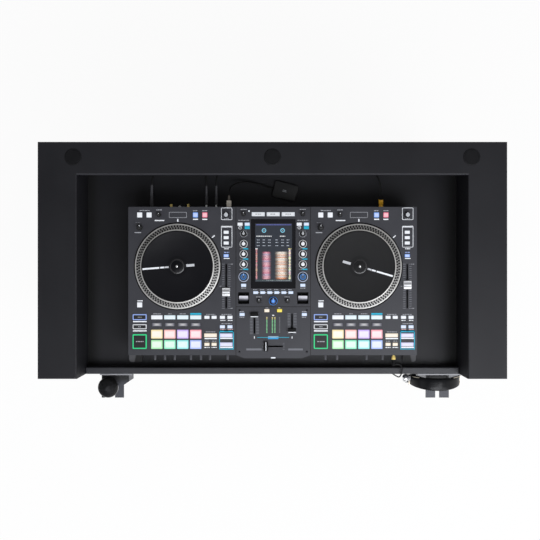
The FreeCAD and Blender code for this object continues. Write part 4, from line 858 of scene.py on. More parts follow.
GLOW_GREEN = (0.22, 0.62, 0.30)
GLOW_YELLOW = (0.72, 0.62, 0.24)
METER_OFF = (0.13, 0.14, 0.15)
TONE_RING = (0.74, 0.76, 0.80)
FILTER_RING = (0.50, 0.57, 0.74)
BROWSE_RING = (0.05, 0.26, 0.78)
CROSS_BLUE = (0.02, 0.36, 0.78)
CROSS_PALE = (0.30, 0.48, 0.60)
SOFT_KEY_DOT = (0.95, 0.97, 1.0)
DEAD_LAMP = (0.05, 0.05, 0.055)
SEAM = (0.003, 0.003, 0.0035)
corner = (middle_of(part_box("mixer_plate")).x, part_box("left_deck_plate")[0].y)
sheet = Print(corner, PLATE_TOP)
lamps = Print(corner, PLATE_TOP)
for across in (-1, 1):
    column = 77 * across
    sheet.words(column, 379.5, 16, GREY_INK, 1.8)
    sheet.words(column, 351, 28, GREY_INK, 2.0)
    lamps.bar(column + 9.3, 331.8, 13, 7.6, CYAN)
    sheet.hoop(column - 9.3, 331.8, 4.2, 1.1, WHITE_INK)
    sheet.bar(column - 9.3, 331.8, 3.4, 2.0, GREY_INK)
    sheet.hoop(column, 316, 9.0, 0.9, GREY_INK)
    for bearing in range(-120, 121, 40):
        way = math.radians(90 - bearing)
        tick = (10.4 * math.cos(way), 10.4 * math.sin(way))
        sheet.bar(column + tick[0], 316 + tick[1], 1.6, 0.8, GREY_INK, 90 - bearing)
    for y in (289.6, 263.0, 236.4):
        lamps.hoop(column, y, 10.3, 2.0, TONE_RING)
        sheet.bar(column + 5.4, y - 12.8, 13, 3.4, CYAN)
        sheet.words(column - 6, y - 13.0, 8, GREY_INK, 1.4)
    lamps.hoop(column, 204, 13.2, 2.6, FILTER_RING)
    sheet.words(column, 174.6, 13, GREY_INK, 2.2)
    sheet.words(37 * across, 151.6, 15, GREY_INK, 1.8)
    sheet.words(81 * across, 113.4, 13, GREY_INK, 2.0)
    sheet.words(81 * across, 98.8, 13, GREY_INK, 1.8)
    sheet.bar(24.5 * across, 46.2, 34, 1.3, CYAN)
    sheet.bar(49 * across, 46.2, 1.8, 6, WHITE_INK)
    for tick in range(14):
        y = 56 + 52 * tick / 13
        for reach in (-8, 8):
            sheet.bar(49 * across + reach, y, 7.5, 1.5, DUSK)
    sheet.words(16.5 * across, 123.2, 7, GREY_INK, 1.8)
    for tick in range(5):
        sheet.bar(27 * across, 15 + 4 * tick, 5.0, 0.8, DUSK)
for x, working in ((-16.6, True), (-2.2, True), (4.3, True), (16.6, False)):
    for step in range(12):
        y = 59.5 + 38.5 * step / 11
        glow = GLOW_YELLOW if step > 9 else GLOW_GREEN
        lamps.bar(x, y, 3.0, 2.3, glow if working else METER_OFF)
sheet.words(1, 103.8, 7, WHITE_INK, 2.6)
lamps.bar(0, 43.8, 27, 3.8, CROSS_BLUE)
lamps.bar(0, 47.5, 27, 3.5, CROSS_PALE)
for index in range(5):
    lamps.bar(-37.7 + 18.3 * index, 163, 2.2, 2.2, SOFT_KEY_DOT, corner=1.0)
for index in range(6):
    sheet.words(-47.2 + 18.3 * index, 170.4, 11, GREY_INK, 1.8)
lamps.bar(-63, 375, 4.2, 4.2, WHITE, corner=2.0)
lamps.bar(62, 375, 2.6, 2.6, DEAD_LAMP, corner=1.2)
for x, width in ((-50, 40), (58, 38)):
    sheet.bar(x, 15, width, 5.0, DUSK)
for x in (-97, 97):
    sheet.bar(x, 193, 1.5, 385, SEAM)
sheet.bar(0, 126, 193, 1.5, SEAM)
lamps.bar(0, -6.8, 12, 3.4, WHITE, corner=1.6)
browse = (middle_of(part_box("browse_knob")) - lamps.origin) * 1000
lamps.hoop(browse.x, browse.y, 11.0, 1.4, BROWSE_RING)
piece("mixer_print", sheet.mesh, ink, "booth", "console_plate")
piece("mixer_lamps", lamps.mesh, key_glow, "booth", "lit_keys")


# The display is a glass sheet bonded flush in the mixer plate. Its picture is a dark slate screen with a
# status bar, two rings, rows of dashes, and two tall columns of level bars between two overview strips.

CLEAN_GLASS = (0.0035, 0.0035, 0.0045)
SMEARED_GLASS = (0.012, 0.012, 0.015)
SCREEN_GROUND = (0.022, 0.027, 0.038)
STATUS_BAR = (0.07, 0.08, 0.24)
STATUS_DASH = (0.15, 0.17, 0.42)
RING_AQUA = (0.20, 0.55, 0.72)
RING_DOT = (0.5, 0.6, 0.7)
TITLE_DASH = (0.66, 0.68, 0.70)
SLATE = (0.46, 0.50, 0.58)
FOOT_BAR = (0.05, 0.07, 0.08)
FOOT_DASH = (0.34, 0.40, 0.42)
LEFT_HEADING = (0.7, 0.72, 0.75)
RIGHT_HEADING = (0.6, 0.55, 0.2)
PINKS = ((0.86, 0.30, 0.42), (0.95, 0.52, 0.58), (0.52, 0.44, 0.66), (0.90, 0.62, 0.70), (0.74, 0.30, 0.46))
AMBERS = ((0.94, 0.40, 0.22), (0.98, 0.86, 0.72), (0.80, 0.76, 0.84), (0.98, 0.56, 0.34), (1.0, 0.92, 0.84))
LEVEL_STEPS = ((1.0, 0.14, 1.10), (0.86, 0.36, 1.15), (0.72, 0.66, 1.20), (0.52, 0.95, 1.25))
OVERVIEWS = ((-43.4, 4.8, (0.80, 0.40, 0.35)), (42.8, 6.0, (0.92, 0.86, 0.68)))
LEVELS_FOOT = 198.5
glass = Finish("display_glass", {"Specular IOR Level": 0.3})
smear = glass.noise(14, 3, (1.0, 0.5, 1.0))
glass.feed("Base Color", glass.mix(smear, paint(CLEAN_GLASS), paint(SMEARED_GLASS)))
glass.feed("Roughness", 0.06 + 0.16 * smear)
glass.dress("display_glass")
screen = Print(corner, PLATE_TOP)
screen.bar(1, 267, 96, 152, SCREEN_GROUND)
screen_glow = lit("screen_glow", 0.2, 0.9)
piece("screen_ground", screen.mesh, screen_glow, "booth", "display")
picture = Print(corner, PLATE_TOP + Print.INK)
picture.bar(1, 339.5, 92, 3.0, STATUS_BAR)
picture.words(1, 339.5, 88, STATUS_DASH, 1.6)
for x in (-24, 24.4):
    picture.hoop(x, 324.6, 5.8, 2.2, RING_AQUA)
    picture.bar(x, 324.6, 2.0, 2.0, RING_DOT, corner=0.9)
    picture.words(x, 309.6, 40 if x < 0 else 14, TITLE_DASH, 2.6)
    for y in (300, 293.4, 285):
        for shift in (-15, 0, 14):
            picture.words(x + shift, y, 7, SLATE, 1.7)
for low_x, high_x, tints in ((-30, -5.5, PINKS), (4.5, 38.5, AMBERS)):
    for row in range(56):
        y = LEVELS_FOOT + 70 * row / 55
        stage = row * 0.36 + 0.8 * math.sin(row * 0.45 + low_x)
        first = tints[int(stage) % len(tints)]
        second = tints[int(stage + 1) % len(tints)]
        share = (stage % 1.0) ** 2
        tint = tuple(a + (b - a) * share for a, b in zip(first, second))
        width = (high_x - low_x) * random.uniform(0.90, 1.04)
        for spread, glow, depth in LEVEL_STEPS:
            picture.bar((low_x + high_x) / 2, y, width * spread, depth, tuple(glow * part for part in tint))
        picture.bar((low_x + high_x) / 2, y, width * 0.30, 1.35, lightened(tint, 0.30))
for x, width, tint in OVERVIEWS:
    for row in range(38):
        y = LEVELS_FOOT + 76 * row / 37
        length = width * random.uniform(0.6, 1.0)
        picture.bar(x, y, length, 1.7, tuple(part * random.uniform(0.6, 1.1) for part in tint))
picture.bar(1, 194.4, 92, 3.6, FOOT_BAR)
picture.words(1, 194.4, 86, FOOT_DASH, 2.0)
picture.words(-43, 277, 7, LEFT_HEADING, 2.4)
picture.words(43, 277, 8, RIGHT_HEADING, 2.4)
piece("screen_picture", picture.mesh, screen_glow, "booth", "display")


# The pitch faders have silver caps with two channels across the top, lined in grey as painted shade. Channel
# faders and crossfader have black caps, dished for a fingertip, with a white line across. Each cap sits on a
# stem that runs in its slot.

def drawn(mesh, profile, low, high, at):
    """Draws a profile of (y, z) points along x from low to high, with eased ends."""
    middle_y = sum(point[0] for point in profile) / len(profile)
    middle_z = sum(point[1] for point in profile) / len(profile)
    rings = []
    for x, share in ((low, 0.93), (low + 0.0006, 1.0), (high - 0.0006, 1.0), (high, 0.93)):
        rings.append([Vector((x, middle_y + (y - middle_y) * share, middle_z + (z - middle_z) * share))
                      for y, z in profile])
    skin(mesh, rings, at=at)


fader_silver = metal("fader_silver", (0.84, 0.85, 0.87), 0.34, (0.05, 1.0, 1.0), bare=0.25)
fader_black = moulded("fader_black", (0.004, 0.004, 0.0045), 0.55, gloss=0.16)
channel_shade = moulded("channel_shade", (0.22, 0.22, 0.23), 0.5)
GRIP_CHANNELS = ((0.64, 0.06), (-0.30, -0.48))
FADER_FOOT = PLATE_TOP + 0.0008
for side in ("left", "right"):
    low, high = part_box(side + "_pitch_cap")
    at = Matrix.Translation(middle_of((low, high)))
    half = (high.y - low.y) / 2
    width = high.x - low.x
    top = high.z
    profile = [(half, FADER_FOOT), (half, top - 0.0030), (half - 0.0012, top - 0.0004)]
    for rear, front in GRIP_CHANNELS:
        profile += [(rear * half, top), (rear * half - 0.0003, top - 0.0016),
                    (front * half + 0.0003, top - 0.0016), (front * half, top)]
    profile += [(0.0012 - half, top - 0.0004), (-half, top - 0.0030), (-half, FADER_FOOT)]
    grip = bmesh.new()
    drawn(grip, profile, -width / 2, width / 2, at)
    piece(side + "_pitch_grip", grip, fader_silver, side + "_pitch_fader", "fader_metal", side + "_pitch_cap")
    # The channels' grey lining is painted shade.
    grooves = bmesh.new()
    for rear, front in GRIP_CHANNELS:
        size = (width - 0.0012, (rear - front) * half - 0.0004, 0.0002)
        skin(grooves, [rounded(*size, top - 0.0022), rounded(*size, top - 0.0008)],
             at=at @ Matrix.Translation((0, (rear + front) / 2 * half, 0)))
    piece(side + "_pitch_grooves", grooves, channel_shade, side + "_pitch_fader", "black_plastic")

FADERS = (("left_channel_cap", "left_channel_fader", 0, 0.0),
          ("right_channel_cap", "right_channel_fader", 0, 0.0),
          ("crossfader_cap", "crossfader", 90, 0.0018))
for node, body, angle, sunk in FADERS:
    low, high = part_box(node)
    facing = math.radians(angle)
    at = Matrix.Translation(middle_of((low, high))) @ Matrix.Rotation(facing, 4, "Z")
    across, along = sorted((high.x - low.x, high.y - low.y))
    half = across / 2
    top = high.z
    shoulder = FADER_FOOT + 0.0018
    profile = [(half, FADER_FOOT), (half, shoulder), (half - 0.0006, top - 0.003), (half - 0.0014, top),
               (half - 0.0024, top), (0.0012, top - 0.0018), (-0.0010, top - 0.0018), (0.0036 - half, top),
               (0.0010 - half, top), (0.0006 - half, top - 0.003), (-half, shoulder), (-half, FADER_FOOT)]
    grip = bmesh.new()
    drawn(grip, profile, -along / 2, along / 2, at)
    piece(node.replace("_cap", "_grip"), grip, fader_black, body, "black_plastic", node)
    line = Print(at.translation, top - sunk)
    crest = 0.0 if sunk else (half - 0.0023) * 1000
    line.bar(crest * math.sin(facing), -crest * math.cos(facing), along * 940, 2.0, WHITE_INK, angle)
    piece(node.replace("_cap", "_line"), line.mesh, ink, body, "black_plastic")


# Tone and level knobs are dark rubber with flutes for grip and a white cap and pointer. The filter and
# browse knobs are clear caps lit blue from below, and the small trim knobs are plain black with a pointer.

knob_rubber = moulded("knob_rubber", (0.008, 0.008, 0.0085), 0.5)
FLUTE_POINTS = 6
FACE_SIDES = 40


def knob(name, box, body, face, pointer, finish, flutes, *replaced):
    """A fluted grip with a skirt, and a face of tinted rings with a pointer let into its top."""
    low, high = box
    radius = (high.x - low.x) / 2
    spot = middle_of(box, PLATE_TOP)
    at = Matrix.Translation(spot)
    top = high.z - PLATE_TOP
    count = flutes * FLUTE_POINTS
    grip = bmesh.new()
    skin(grip, [circle(radius, 0.0004, count), circle(radius, 0.0018, count),
                circle(radius * 0.93, 0.0026, count),
                circle(radius * 0.90, 0.003, count, flutes, radius * 0.07),
                circle(radius * 0.84, top - 0.0012, count, flutes, radius * 0.07),
                circle(radius * 0.76, top - 0.0002, count, flutes, radius * 0.03),
                circle(radius * 0.70, top - 0.0002, count)], at=at)
    piece(name + "_grip", grip, knob_rubber, body, "knob_rubber", *replaced)
    mark = Print(spot, spot.z + top + 0.0001)
    profile = [(radius * share, top + rise) for share, rise, tint in face]
    turn(mark.mesh, profile, at, [tint for share, rise, tint in face], FACE_SIDES)
    mark.bar(0, radius * 560, 1.5, radius * 420, pointer)
    piece(name + "_face", mark.mesh, finish, body, "knob_rubber")


def plain_face(tint, reach=0.44):
    """A flat cap of one tint with an eased edge."""
    return [(reach, -0.0004, tint), (reach, -0.0001, tint), (reach - 0.04, 0.0, tint), (0.05, 0.0, tint)]


KNOB_WHITE = (0.80, 0.81, 0.84)
KNOB_GREY = (0.40, 0.41, 0.43)
KNOB_SILVER = (0.46, 0.48, 0.51)
KNOB_BLACK = (0.02, 0.02, 0.022)
LIT_FACE = [(0.70, -0.0004, (0.06, 0.22, 0.55)), (0.68, 0.0, (0.07, 0.26, 0.62)),
            (0.52, 0.0, (0.03, 0.12, 0.34)), (0.34, 0.0, (0.008, 0.03, 0.09)),
            (0.28, 0.0, (0.20, 0.30, 0.48)), (0.16, 0.0, (0.01, 0.014, 0.03)),
            (0.04, 0.0, (0.02, 0.03, 0.05))]
LIT_POINTER = (0.55, 0.65, 0.9)
BROWSE_FACE = [(0.68, -0.0004, (0.01, 0.03, 0.12)), (0.62, 0.0, (0.01, 0.04, 0.18)),
               (0.50, 0.0, (0.01, 0.06, 0.28)), (0.36, 0.0, (0.05, 0.28, 0.88)),
               (0.05, 0.0, (0.26, 0.50, 0.95))]
BROWSE_POINTER = (0.5, 0.66, 0.95)
cap_ink = inked("knob_cap", 0.35)
blue_glow = lit("blue_glow", 0.35, 0.6)
for side in ("left", "right"):
    for tone in ("low", "mid", "high"):
        name = f"{side}_{tone}_knob"
        knob(name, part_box(name), name, plain_face(KNOB_WHITE, 0.52), KNOB_WHITE, cap_ink, 14, name)
    name = side + "_level_knob"
    knob(name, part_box(name), name, plain_face(KNOB_GREY), KNOB_WHITE, cap_ink, 12, name)
    name = side + "_filter_knob"
    knob(name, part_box(name), name, LIT_FACE, LIT_POINTER, blue_glow, 18, name)
name = "browse_knob"
knob(name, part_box(name), name, BROWSE_FACE, BROWSE_POINTER, blue_glow, 16, name)
SILVER_WIDTH = 0.015
SILVER_ROW = 0.143
for index, box in enumerate(islands("trim_knobs")):
    silver = box[1].x - box[0].x > SILVER_WIDTH and box[0].y > SILVER_ROW
    face = plain_face(KNOB_SILVER, 0.66) if silver else plain_face(KNOB_BLACK)
    replaced = ("trim_knobs",) if index == 0 else ()
    knob(f"trim_knob_{index}", box, "booth", face, KNOB_WHITE, cap_ink, 10, *replaced)


# The effect paddles are spring levers of translucent lavender plastic, lit from below. Each tilts on a
# steel cross pin in a black moulded well that is let into the mixer plate.

paddle_glow = lit("paddle_glow", 0.4, 0.5)
pin_steel = metal("pin_steel", (0.06, 0.06, 0.065), 0.4)
PADDLE_DIM = (0.08, 0.08, 0.10)
PADDLE_GAIN = (0.78, 0.78, 0.86)
LEVER_HALF = 0.0115
WELL_OUTER = (0.0289, 0.0304)
WELL_INNER = (0.0281, 0.0296)
WELL_WALL = ((WELL_OUTER, 0.0004), (WELL_OUTER, 0.0138), (WELL_INNER, 0.0134), (WELL_INNER, 0.0004))
WELL_FLOOR = (0.0138, 0.0133)
for side in ("left", "right"):
    low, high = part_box(side + "_fx_paddle")
    middle = middle_of((low, high))
    spot = Matrix.Translation(middle)
    half = (high.y - low.y) / 2
    top = high.z
    profile = [(half, low.z + 0.002), (half, top - 0.0022), (half - 0.0008, top - 0.0008),
               (half - 0.0022, top), (0.0, top - 0.0004), (0.0022 - half, top - 0.0012),
               (0.0006 - half, top - 0.003), (-half, top - 0.0050), (-half, low.z + 0.002)]
    lever = bmesh.new()
    drawn(lever, profile, -LEVER_HALF, LEVER_HALF, spot)
    layer = lever.verts.layers.float_color["tint"]
    for vertex in lever.verts:
        rear = (vertex.co.y - low.y) / (2 * half)
        share = min(1.0, max(0.0, 2.2 * rear - 0.7)) if vertex.co.z > PLATE_TOP else 0.1
        vertex[layer] = (*(dim + gain * share for dim, gain in zip(PADDLE_DIM, PADDLE_GAIN)), 1)
    piece(side + "_paddle_lever", lever, paddle_glow, side + "_fx_paddle", "paddle_plastic",
          side + "_fx_paddle")
    well = bmesh.new()
    skin(well, [rounded(*size, 0.001, PLATE_TOP - drop) for size, drop in WELL_WALL], at=spot, hoop=True)
    skin(well, [rounded(0.0283, 0.0298, 0.001, PLATE_TOP - drop) for drop in WELL_FLOOR], at=spot)
    piece(side + "_paddle_well", well, band_coat, "booth", "black_plastic")
    pin = bmesh.new()
    axle = Matrix.Translation((low.x, middle.y, low.z + 0.003)) @ Matrix.Rotation(math.radians(90), 4, "Y")
    length = high.x - low.x
    turn(pin, [(0.0012, 0.0), (0.0015, 0.0004), (0.0015, length - 0.0004), (0.0012, length)], axle, count=24)
    piece(side + "_paddle_pin", pin, pin_steel, side + "_fx_paddle", "screw_steel")


# Gold-plated phono jacks and a nickel-plated grounding post stand on the console's rear. Small knobs of
# grey plastic, pressed on their shafts, stand along its front.

REARWARD = Matrix.Rotation(math.radians(-90), 4, "X")
FORWARD = Matrix.Rotation(math.radians(90), 4, "X")
gold = metal("gold_plate", (1.0, 0.76, 0.24), 0.3, bare=0.15)
post_nickel = metal("post_nickel", (0.86, 0.84, 0.85), 0.34, bare=0.2)
peg_plastic = moulded("peg_plastic", (0.062, 0.062, 0.071), 0.45)
JACK_REACH = 0.0055
POST_RADIUS = 0.0042
JACK_SIDES = 36
PEG_SIDES = 48
PEG_FLUTES = 12
jacks = bmesh.new()
posts = bmesh.new()
pegs = bmesh.new()
for low, high in islands("panel_sockets"):
    radius = (high.x - low.x) / 2
    length = high.y - low.y
    if low.y > 0:
        at = Matrix.Translation(((low.x + high.x) / 2, low.y, (low.z + high.z) / 2)) @ REARWARD
        if radius > POST_RADIUS:
            length += JACK_REACH
            turn(jacks, [(radius, 0.0), (radius, 0.0014), (radius * 0.78, 0.0018),
                         (radius * 0.78, length - 0.0006), (radius * 0.72, length), (radius * 0.56, length),
                         (radius * 0.52, length - 0.004), (radius * 0.2, length - 0.004),
                         (radius * 0.2, length - 0.001), (0.0003, length - 0.001)], at, count=JACK_SIDES)
        else:
            turn(posts, [(0.0028, 0.0), (0.0028, 0.0040), (0.0062, 0.0044), (0.0062, 0.0060),
                         (0.0048, 0.0082), (0.0026, 0.0102), (0.0022, 0.0112), (0.0004, 0.0114)], at,
                 count=JACK_SIDES)
    else:
        at = Matrix.Translation(((low.x + high.x) / 2, high.y, (low.z + high.z) / 2)) @ FORWARD
        flute = radius * 0.12
        skin(pegs, [circle(radius, 0.0, PEG_SIDES), circle(radius, 0.002, PEG_SIDES),
                    circle(radius * 0.82, 0.0024, PEG_SIDES), circle(radius * 0.82, 0.004, PEG_SIDES),
                    circle(radius, 0.0046, PEG_SIDES, PEG_FLUTES, flute),
                    circle(radius, length - 0.0014, PEG_SIDES, PEG_FLUTES, flute),
                    circle(radius * 0.84, length, PEG_SIDES), circle(radius * 0.2, length, PEG_SIDES)], at=at)
piece("phono_jacks", jacks, gold, "booth", "socket_metal", "panel_sockets")
piece("ground_post", posts, post_nickel, "booth", "socket_metal")
piece("front_knobs", pegs, peg_plastic, "booth", "socket_metal")


# The leads' plugs: a moulded grey mains plug, two audio jacks with grey grips and nickel collars, a cream
# serial plug with a taupe neck, an orange network plug with its black boot, and the headphones' gold plug in
# a ribbed black sleeve with a side relief.

plug_black = moulded("plug_black", (0.007, 0.007, 0.008), 0.55, gloss=0.16)
plug_grey = moulded("plug_grey", (0.040, 0.040, 0.045), 0.5, gloss=0.4)
plug_nickel = metal("plug_nickel", (0.92, 0.92, 0.93), 0.3, bare=0.25)
plug_cream = metal("plug_cream", (1.0, 0.92, 0.80), 0.36, bare=0.05)
plug_taupe = moulded("plug_taupe", (0.16, 0.14, 0.12), 0.5)
plug_orange = moulded("plug_orange", (1.0, 0.52, 0.02), 0.42)
ROUND_CORNER = 0.48


def boot(mesh, stations, at, corner=0.3):
    """A moulded body through sections (height, width, depth), their corners a share of the smaller side."""
    rings = []
    for height, width, depth in stations:
        rings.append(rounded(width, depth, corner * min(width, depth), height, 5))
    skin(mesh, rings, at=at)


def ribs(start, finish, wide, slim, count):
    """Sections of a ribbed strain relief that narrows from wide to slim."""
    made = []
    for index in range(count):
        for share, swell in ((0.0, 0.86), (0.2, 1.0), (0.6, 1.0), (0.8, 0.86)):
            along = (index + share) / count
            size = (wide + (slim - wide) * along) * swell
            made.append((start + (finish - start) * along, size, size))
    return made


plug_boxes = sorted(islands("lead_plugs"), key=lambda box: box[0].x)
mains, left_jack, right_jack, serial, network, phones = plug_boxes
bodies = bmesh.new()
grips = bmesh.new()
collars = bmesh.new()


def rear_seat(box):
    """The middle of a plug where it meets the console's rear, facing rearward."""
    low, high = box
    return Matrix.Translation(((low.x + high.x) / 2, low.y, (low.z + high.z) / 2)) @ REARWARD


length = mains[1].y - mains[0].y
boot(grips, [(0.0, 0.0096, 0.0136), (0.0006, 0.010, 0.014), (0.024, 0.010, 0.014), (0.027, 0.0092, 0.0124),
             (0.032, 0.0080, 0.0086)] + ribs(0.034, length - 0.001, 0.0084, 0.0066, 6)
     + [(length, 0.0060, 0.0060)], rear_seat(mains))
for box in (left_jack, right_jack):
    length = box[1].y - box[0].y
    turn(collars, [(0.0022, 0.0), (0.0027, 0.0004), (0.0027, 0.0134), (0.0024, 0.014)], rear_seat(box),
         count=JACK_SIDES)
    boot(grips, [(0.0136, 0.0076, 0.0076), (0.0142, 0.0084, 0.0084), (0.033, 0.0080, 0.0080),
                 (0.036, 0.0068, 0.0068)] + ribs(0.037, length - 0.001, 0.0068, 0.0058, 6)
         + [(length, 0.0054, 0.0054)], rear_seat(box), ROUND_CORNER)
length = network[1].y - network[0].y
boot(bodies, [(0.0262, 0.0116, 0.0100), (0.0268, 0.0124, 0.0104), (0.0292, 0.0124, 0.0104)]
     + ribs(0.0296, length - 0.001, 0.0108, 0.0062, 4)
     + [(length, 0.0054, 0.0054)], rear_seat(network))
clip = bmesh.new()
boot(clip, [(0.0, 0.0104, 0.0086), (0.0005, 0.0108, 0.0090), (0.012, 0.0108, 0.0090),
            (0.0126, 0.0080, 0.0086), (0.0140, 0.0080, 0.0086), (0.0146, 0.0116, 0.0090),
            (0.0278, 0.0116, 0.0088)], rear_seat(network), 0.12)
piece("network_plug", clip, plug_orange, "booth", "black_plastic")
length = serial[1].y - serial[0].y
shell = bmesh.new()
boot(shell, [(0.0, 0.0118, 0.0046), (0.006, 0.0118, 0.0046), (0.0064, 0.0126, 0.0066),
             (0.007, 0.0130, 0.0070), (0.0235, 0.0130, 0.0070), (0.0245, 0.0122, 0.0066),
             (0.0252, 0.0086, 0.0058)], rear_seat(serial), 0.22)
serial_plug = piece("serial_plug", shell, plug_cream, "booth", "black_plastic")
neck = bmesh.new()
boot(neck, [(0.0246, 0.0068, 0.0056), (0.0250, 0.0072, 0.0060)]
     + ribs(0.0256, length - 0.001, 0.0070, 0.0054, 3)
     + [(length, 0.0046, 0.0046)], rear_seat(serial), 0.4)
serial_neck = piece("serial_neck", neck, plug_taupe, "booth", "black_plastic")
low, high = phones
middle_z = (low.z + high.z) / 2
plug_x = low.x + 0.0045
front_seat = Matrix.Translation((plug_x, high.y, middle_z)) @ FORWARD
tip = bmesh.new()
turn(tip, [(0.0018, 0.0), (0.0020, 0.004), (0.0022, 0.0085), (0.0036, 0.0120), (0.0049, 0.0160),
           (0.0054, 0.0182), (0.0054, 0.0207), (0.0046, 0.0212)], front_seat, count=JACK_SIDES)
piece("phones_plug_tip", tip, gold, "booth", "socket_metal")
length = high.y - low.y
boot(bodies, [(0.0208, 0.0084, 0.0084), (0.0214, 0.0090, 0.0090)]
     + ribs(0.022, length - 0.0006, 0.0094, 0.0094, 5)
     + [(length, 0.0080, 0.0080)], front_seat, ROUND_CORNER)
side_relief = (Matrix.Translation((plug_x + 0.003, low.y + 0.0045, middle_z))
               @ Matrix.Rotation(math.radians(90), 4, "Y"))
relief_end = high.x - plug_x
boot(bodies, ribs(0.0, relief_end - 0.0032, 0.0064, 0.0052, 2) + [(relief_end - 0.003, 0.0044, 0.0044)],
     side_relief, ROUND_CORNER)
piece("plug_bodies", bodies, plug_black, "booth", "black_plastic", "lead_plugs")
piece("plug_grips", grips, plug_grey, "booth", "black_plastic")
piece("jack_collars", collars, plug_nickel, "booth", "socket_metal")


# The portable drive lies loose on the shelf behind the mixer: a slim case of matt black plastic in two
# halves, with a shadow line between them and a bare label panel.

DRIVE_SPOT = (0.0349, 0.223)
DRIVE_TURN = -14.5
DRIVE_CORNER = 0.006
low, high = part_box("portable_drive")
drive_seat = Matrix.Translation((*DRIVE_SPOT, low.z)) @ Matrix.Rotation(math.radians(DRIVE_TURN), 4, "Z")
case = bmesh.new()
tall = high.z - low.z
stations = [(0.0, 0.0625, 0.0425), (0.0009, 0.0645, 0.0445), (0.0046, 0.065, 0.045),
            (0.0047, 0.0642, 0.0442), (0.0053, 0.0642, 0.0442), (0.0054, 0.065, 0.045),
            (tall - 0.0016, 0.0645, 0.0445), (tall - 0.0004, 0.0632, 0.0432), (tall, 0.0612, 0.0412)]
skin(case, [rounded(width, depth, DRIVE_CORNER, height, 6) for height, width, depth in stations],
     at=drive_seat)
drive_plastic = moulded("drive_plastic", (0.0150, 0.0150, 0.0160), 0.46, 0.00005, 0.45)
piece("drive_case", case, drive_plastic, "booth", "drive_shell", "portable_drive")
label = Print(drive_seat.translation, high.z)
for row, width in ((1.6, 9), (-1.8, 12)):
    across = Matrix.Rotation(math.radians(DRIVE_TURN), 4, "Z") @ Vector((-2, row, 0))
    label.bar(across.x, across.y, width, 1.5, GREY_INK, DRIVE_TURN)
piece("drive_marks", label.mesh, ink, "booth", "drive_shell")


# The leads are round flexible cable in black sheathing. Four run from the console's rear plugs down through
# the grommets in the shelf, and one runs from the drive to the serial plug.

def sheathing(name, colour, roughness):
    """Extruded cable sheath: soft, slightly dusty and faintly ringed."""
    finish = Finish(name, {"Specular IOR Level": 0.2})
    dust = finish.noise(80, 3)
    finish.feed("Base Color", finish.mix(dust, paint(colour), paint(colour, 1.8)))
    finish.feed("Roughness", roughness + 0.2 * (dust - 0.5))
    finish.bump(finish.noise(1100, 2), 0.00005)
    return finish


def flex(name, diameter, route, finish):
    """One cable along a smooth spline with the route's points as its control points."""
    curve = bpy.data.curves.new(name, "CURVE")
    curve.dimensions = "3D"
    curve.bevel_depth = diameter / 2
    curve.bevel_resolution = 5
    curve.resolution_u = 10
    curve.use_fill_caps = True
    line = curve.splines.new("NURBS")
    line.points.add(len(route) - 1)
    for point, place in zip(line.points, route):
        point.co = (*place, 1.0)
    line.order_u = 3
    line.use_endpoint_u = True
    curve.materials.append(finish.material)
    thing = bpy.data.objects.new(name, curve)
    bpy.context.scene.collection.objects.link(thing)
    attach(thing, "booth")
    return thing


lead_sheath = sheathing("lead_sheath", (0.0035, 0.0035, 0.0035), 0.6)
LEADS = {
    "power_lead": (0.0055, 0.090, "object", [
        (-0.3214, 0.2363, 0.935), (-0.3214, 0.2560, 0.935), (-0.3065, 0.2790, 0.927),
        (-0.298, 0.291, 0.9085), (-0.298, 0.291, 0.888)]),
    "left_audio_lead": (0.005, 0.086, "object", [
        (-0.1757, 0.2338, 0.935), (-0.1757, 0.2545, 0.935), (-0.1795, 0.2775, 0.925),
        (-0.182, 0.291, 0.9065), (-0.182, 0.291, 0.888)]),
    "right_audio_lead": (0.005, 0.086, "object", [
        (-0.1493, 0.2338, 0.935), (-0.1493, 0.2540, 0.935), (-0.1446, 0.2770, 0.9253),
        (-0.142, 0.291, 0.9065), (-0.142, 0.291, 0.888)]),
    "network_lead": (0.005, 0.111, "object", [
        (0.2894, 0.2113, 0.935), (0.2894, 0.2275, 0.935), (0.2855, 0.2465, 0.9352), (0.2780, 0.2660, 0.931),
        (0.2705, 0.2830, 0.918), (0.268, 0.291, 0.904), (0.268, 0.291, 0.888)]),
    "drive_lead": (0.004, 0.157, "plug", [
        (0.00343, 0.23114, 0.890), (-0.0155, 0.2358, 0.890), (-0.0380, 0.2428, 0.8906),
        (-0.0620, 0.2466, 0.8942), (-0.0840, 0.2464, 0.903), (-0.1010, 0.2410, 0.9148),
        (-0.1112, 0.2320, 0.9256), (-0.1156, 0.2195, 0.935), (-0.1156, 0.2078, 0.935)]),
}
for name, (diameter, length, far_end, route) in LEADS.items():
    lead = flex(name, diameter, route, lead_sheath)
    if name == "power_lead":
        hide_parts("rear_leads")


# The microphone hangs in the left fork by its collar: a tapered black metal handle, a dark collar, and a
# ball of woven steel wire over foam, with a plated belt and a black rubber bumper ring round it.

low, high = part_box("microphone")
grille_low, grille_high = sorted(islands("microphone"), key=lambda box: box[0].z)[1]
ball_radius = (grille_high.x - grille_low.x) / 2
ball = Matrix.Translation(middle_of((grille_low, grille_high), high.z - ball_radius))
stand = Matrix.Translation((ball.translation.x, ball.translation.y, 0))
neck = grille_low.z
handle = bmesh.new()
turn(handle, [(0.0070, low.z), (0.0092, low.z + 0.0008), (0.0095, low.z + 0.003), (0.0090, low.z + 0.0036),
              (0.0090, low.z + 0.0050), (0.0095, low.z + 0.0056), (0.0119, neck - 0.010),
              (0.0124, neck - 0.009), (0.0165, neck - 0.0088), (0.0170, neck - 0.0082),
              (0.0170, neck - 0.004), (0.0166, neck - 0.0036), (0.0166, neck - 0.0022),
              (0.0170, neck - 0.0018), (0.0170, neck)], stand)
mic_paint = coated("mic_paint", (0.012, 0.012, 0.013), 0.4, 0.00004)
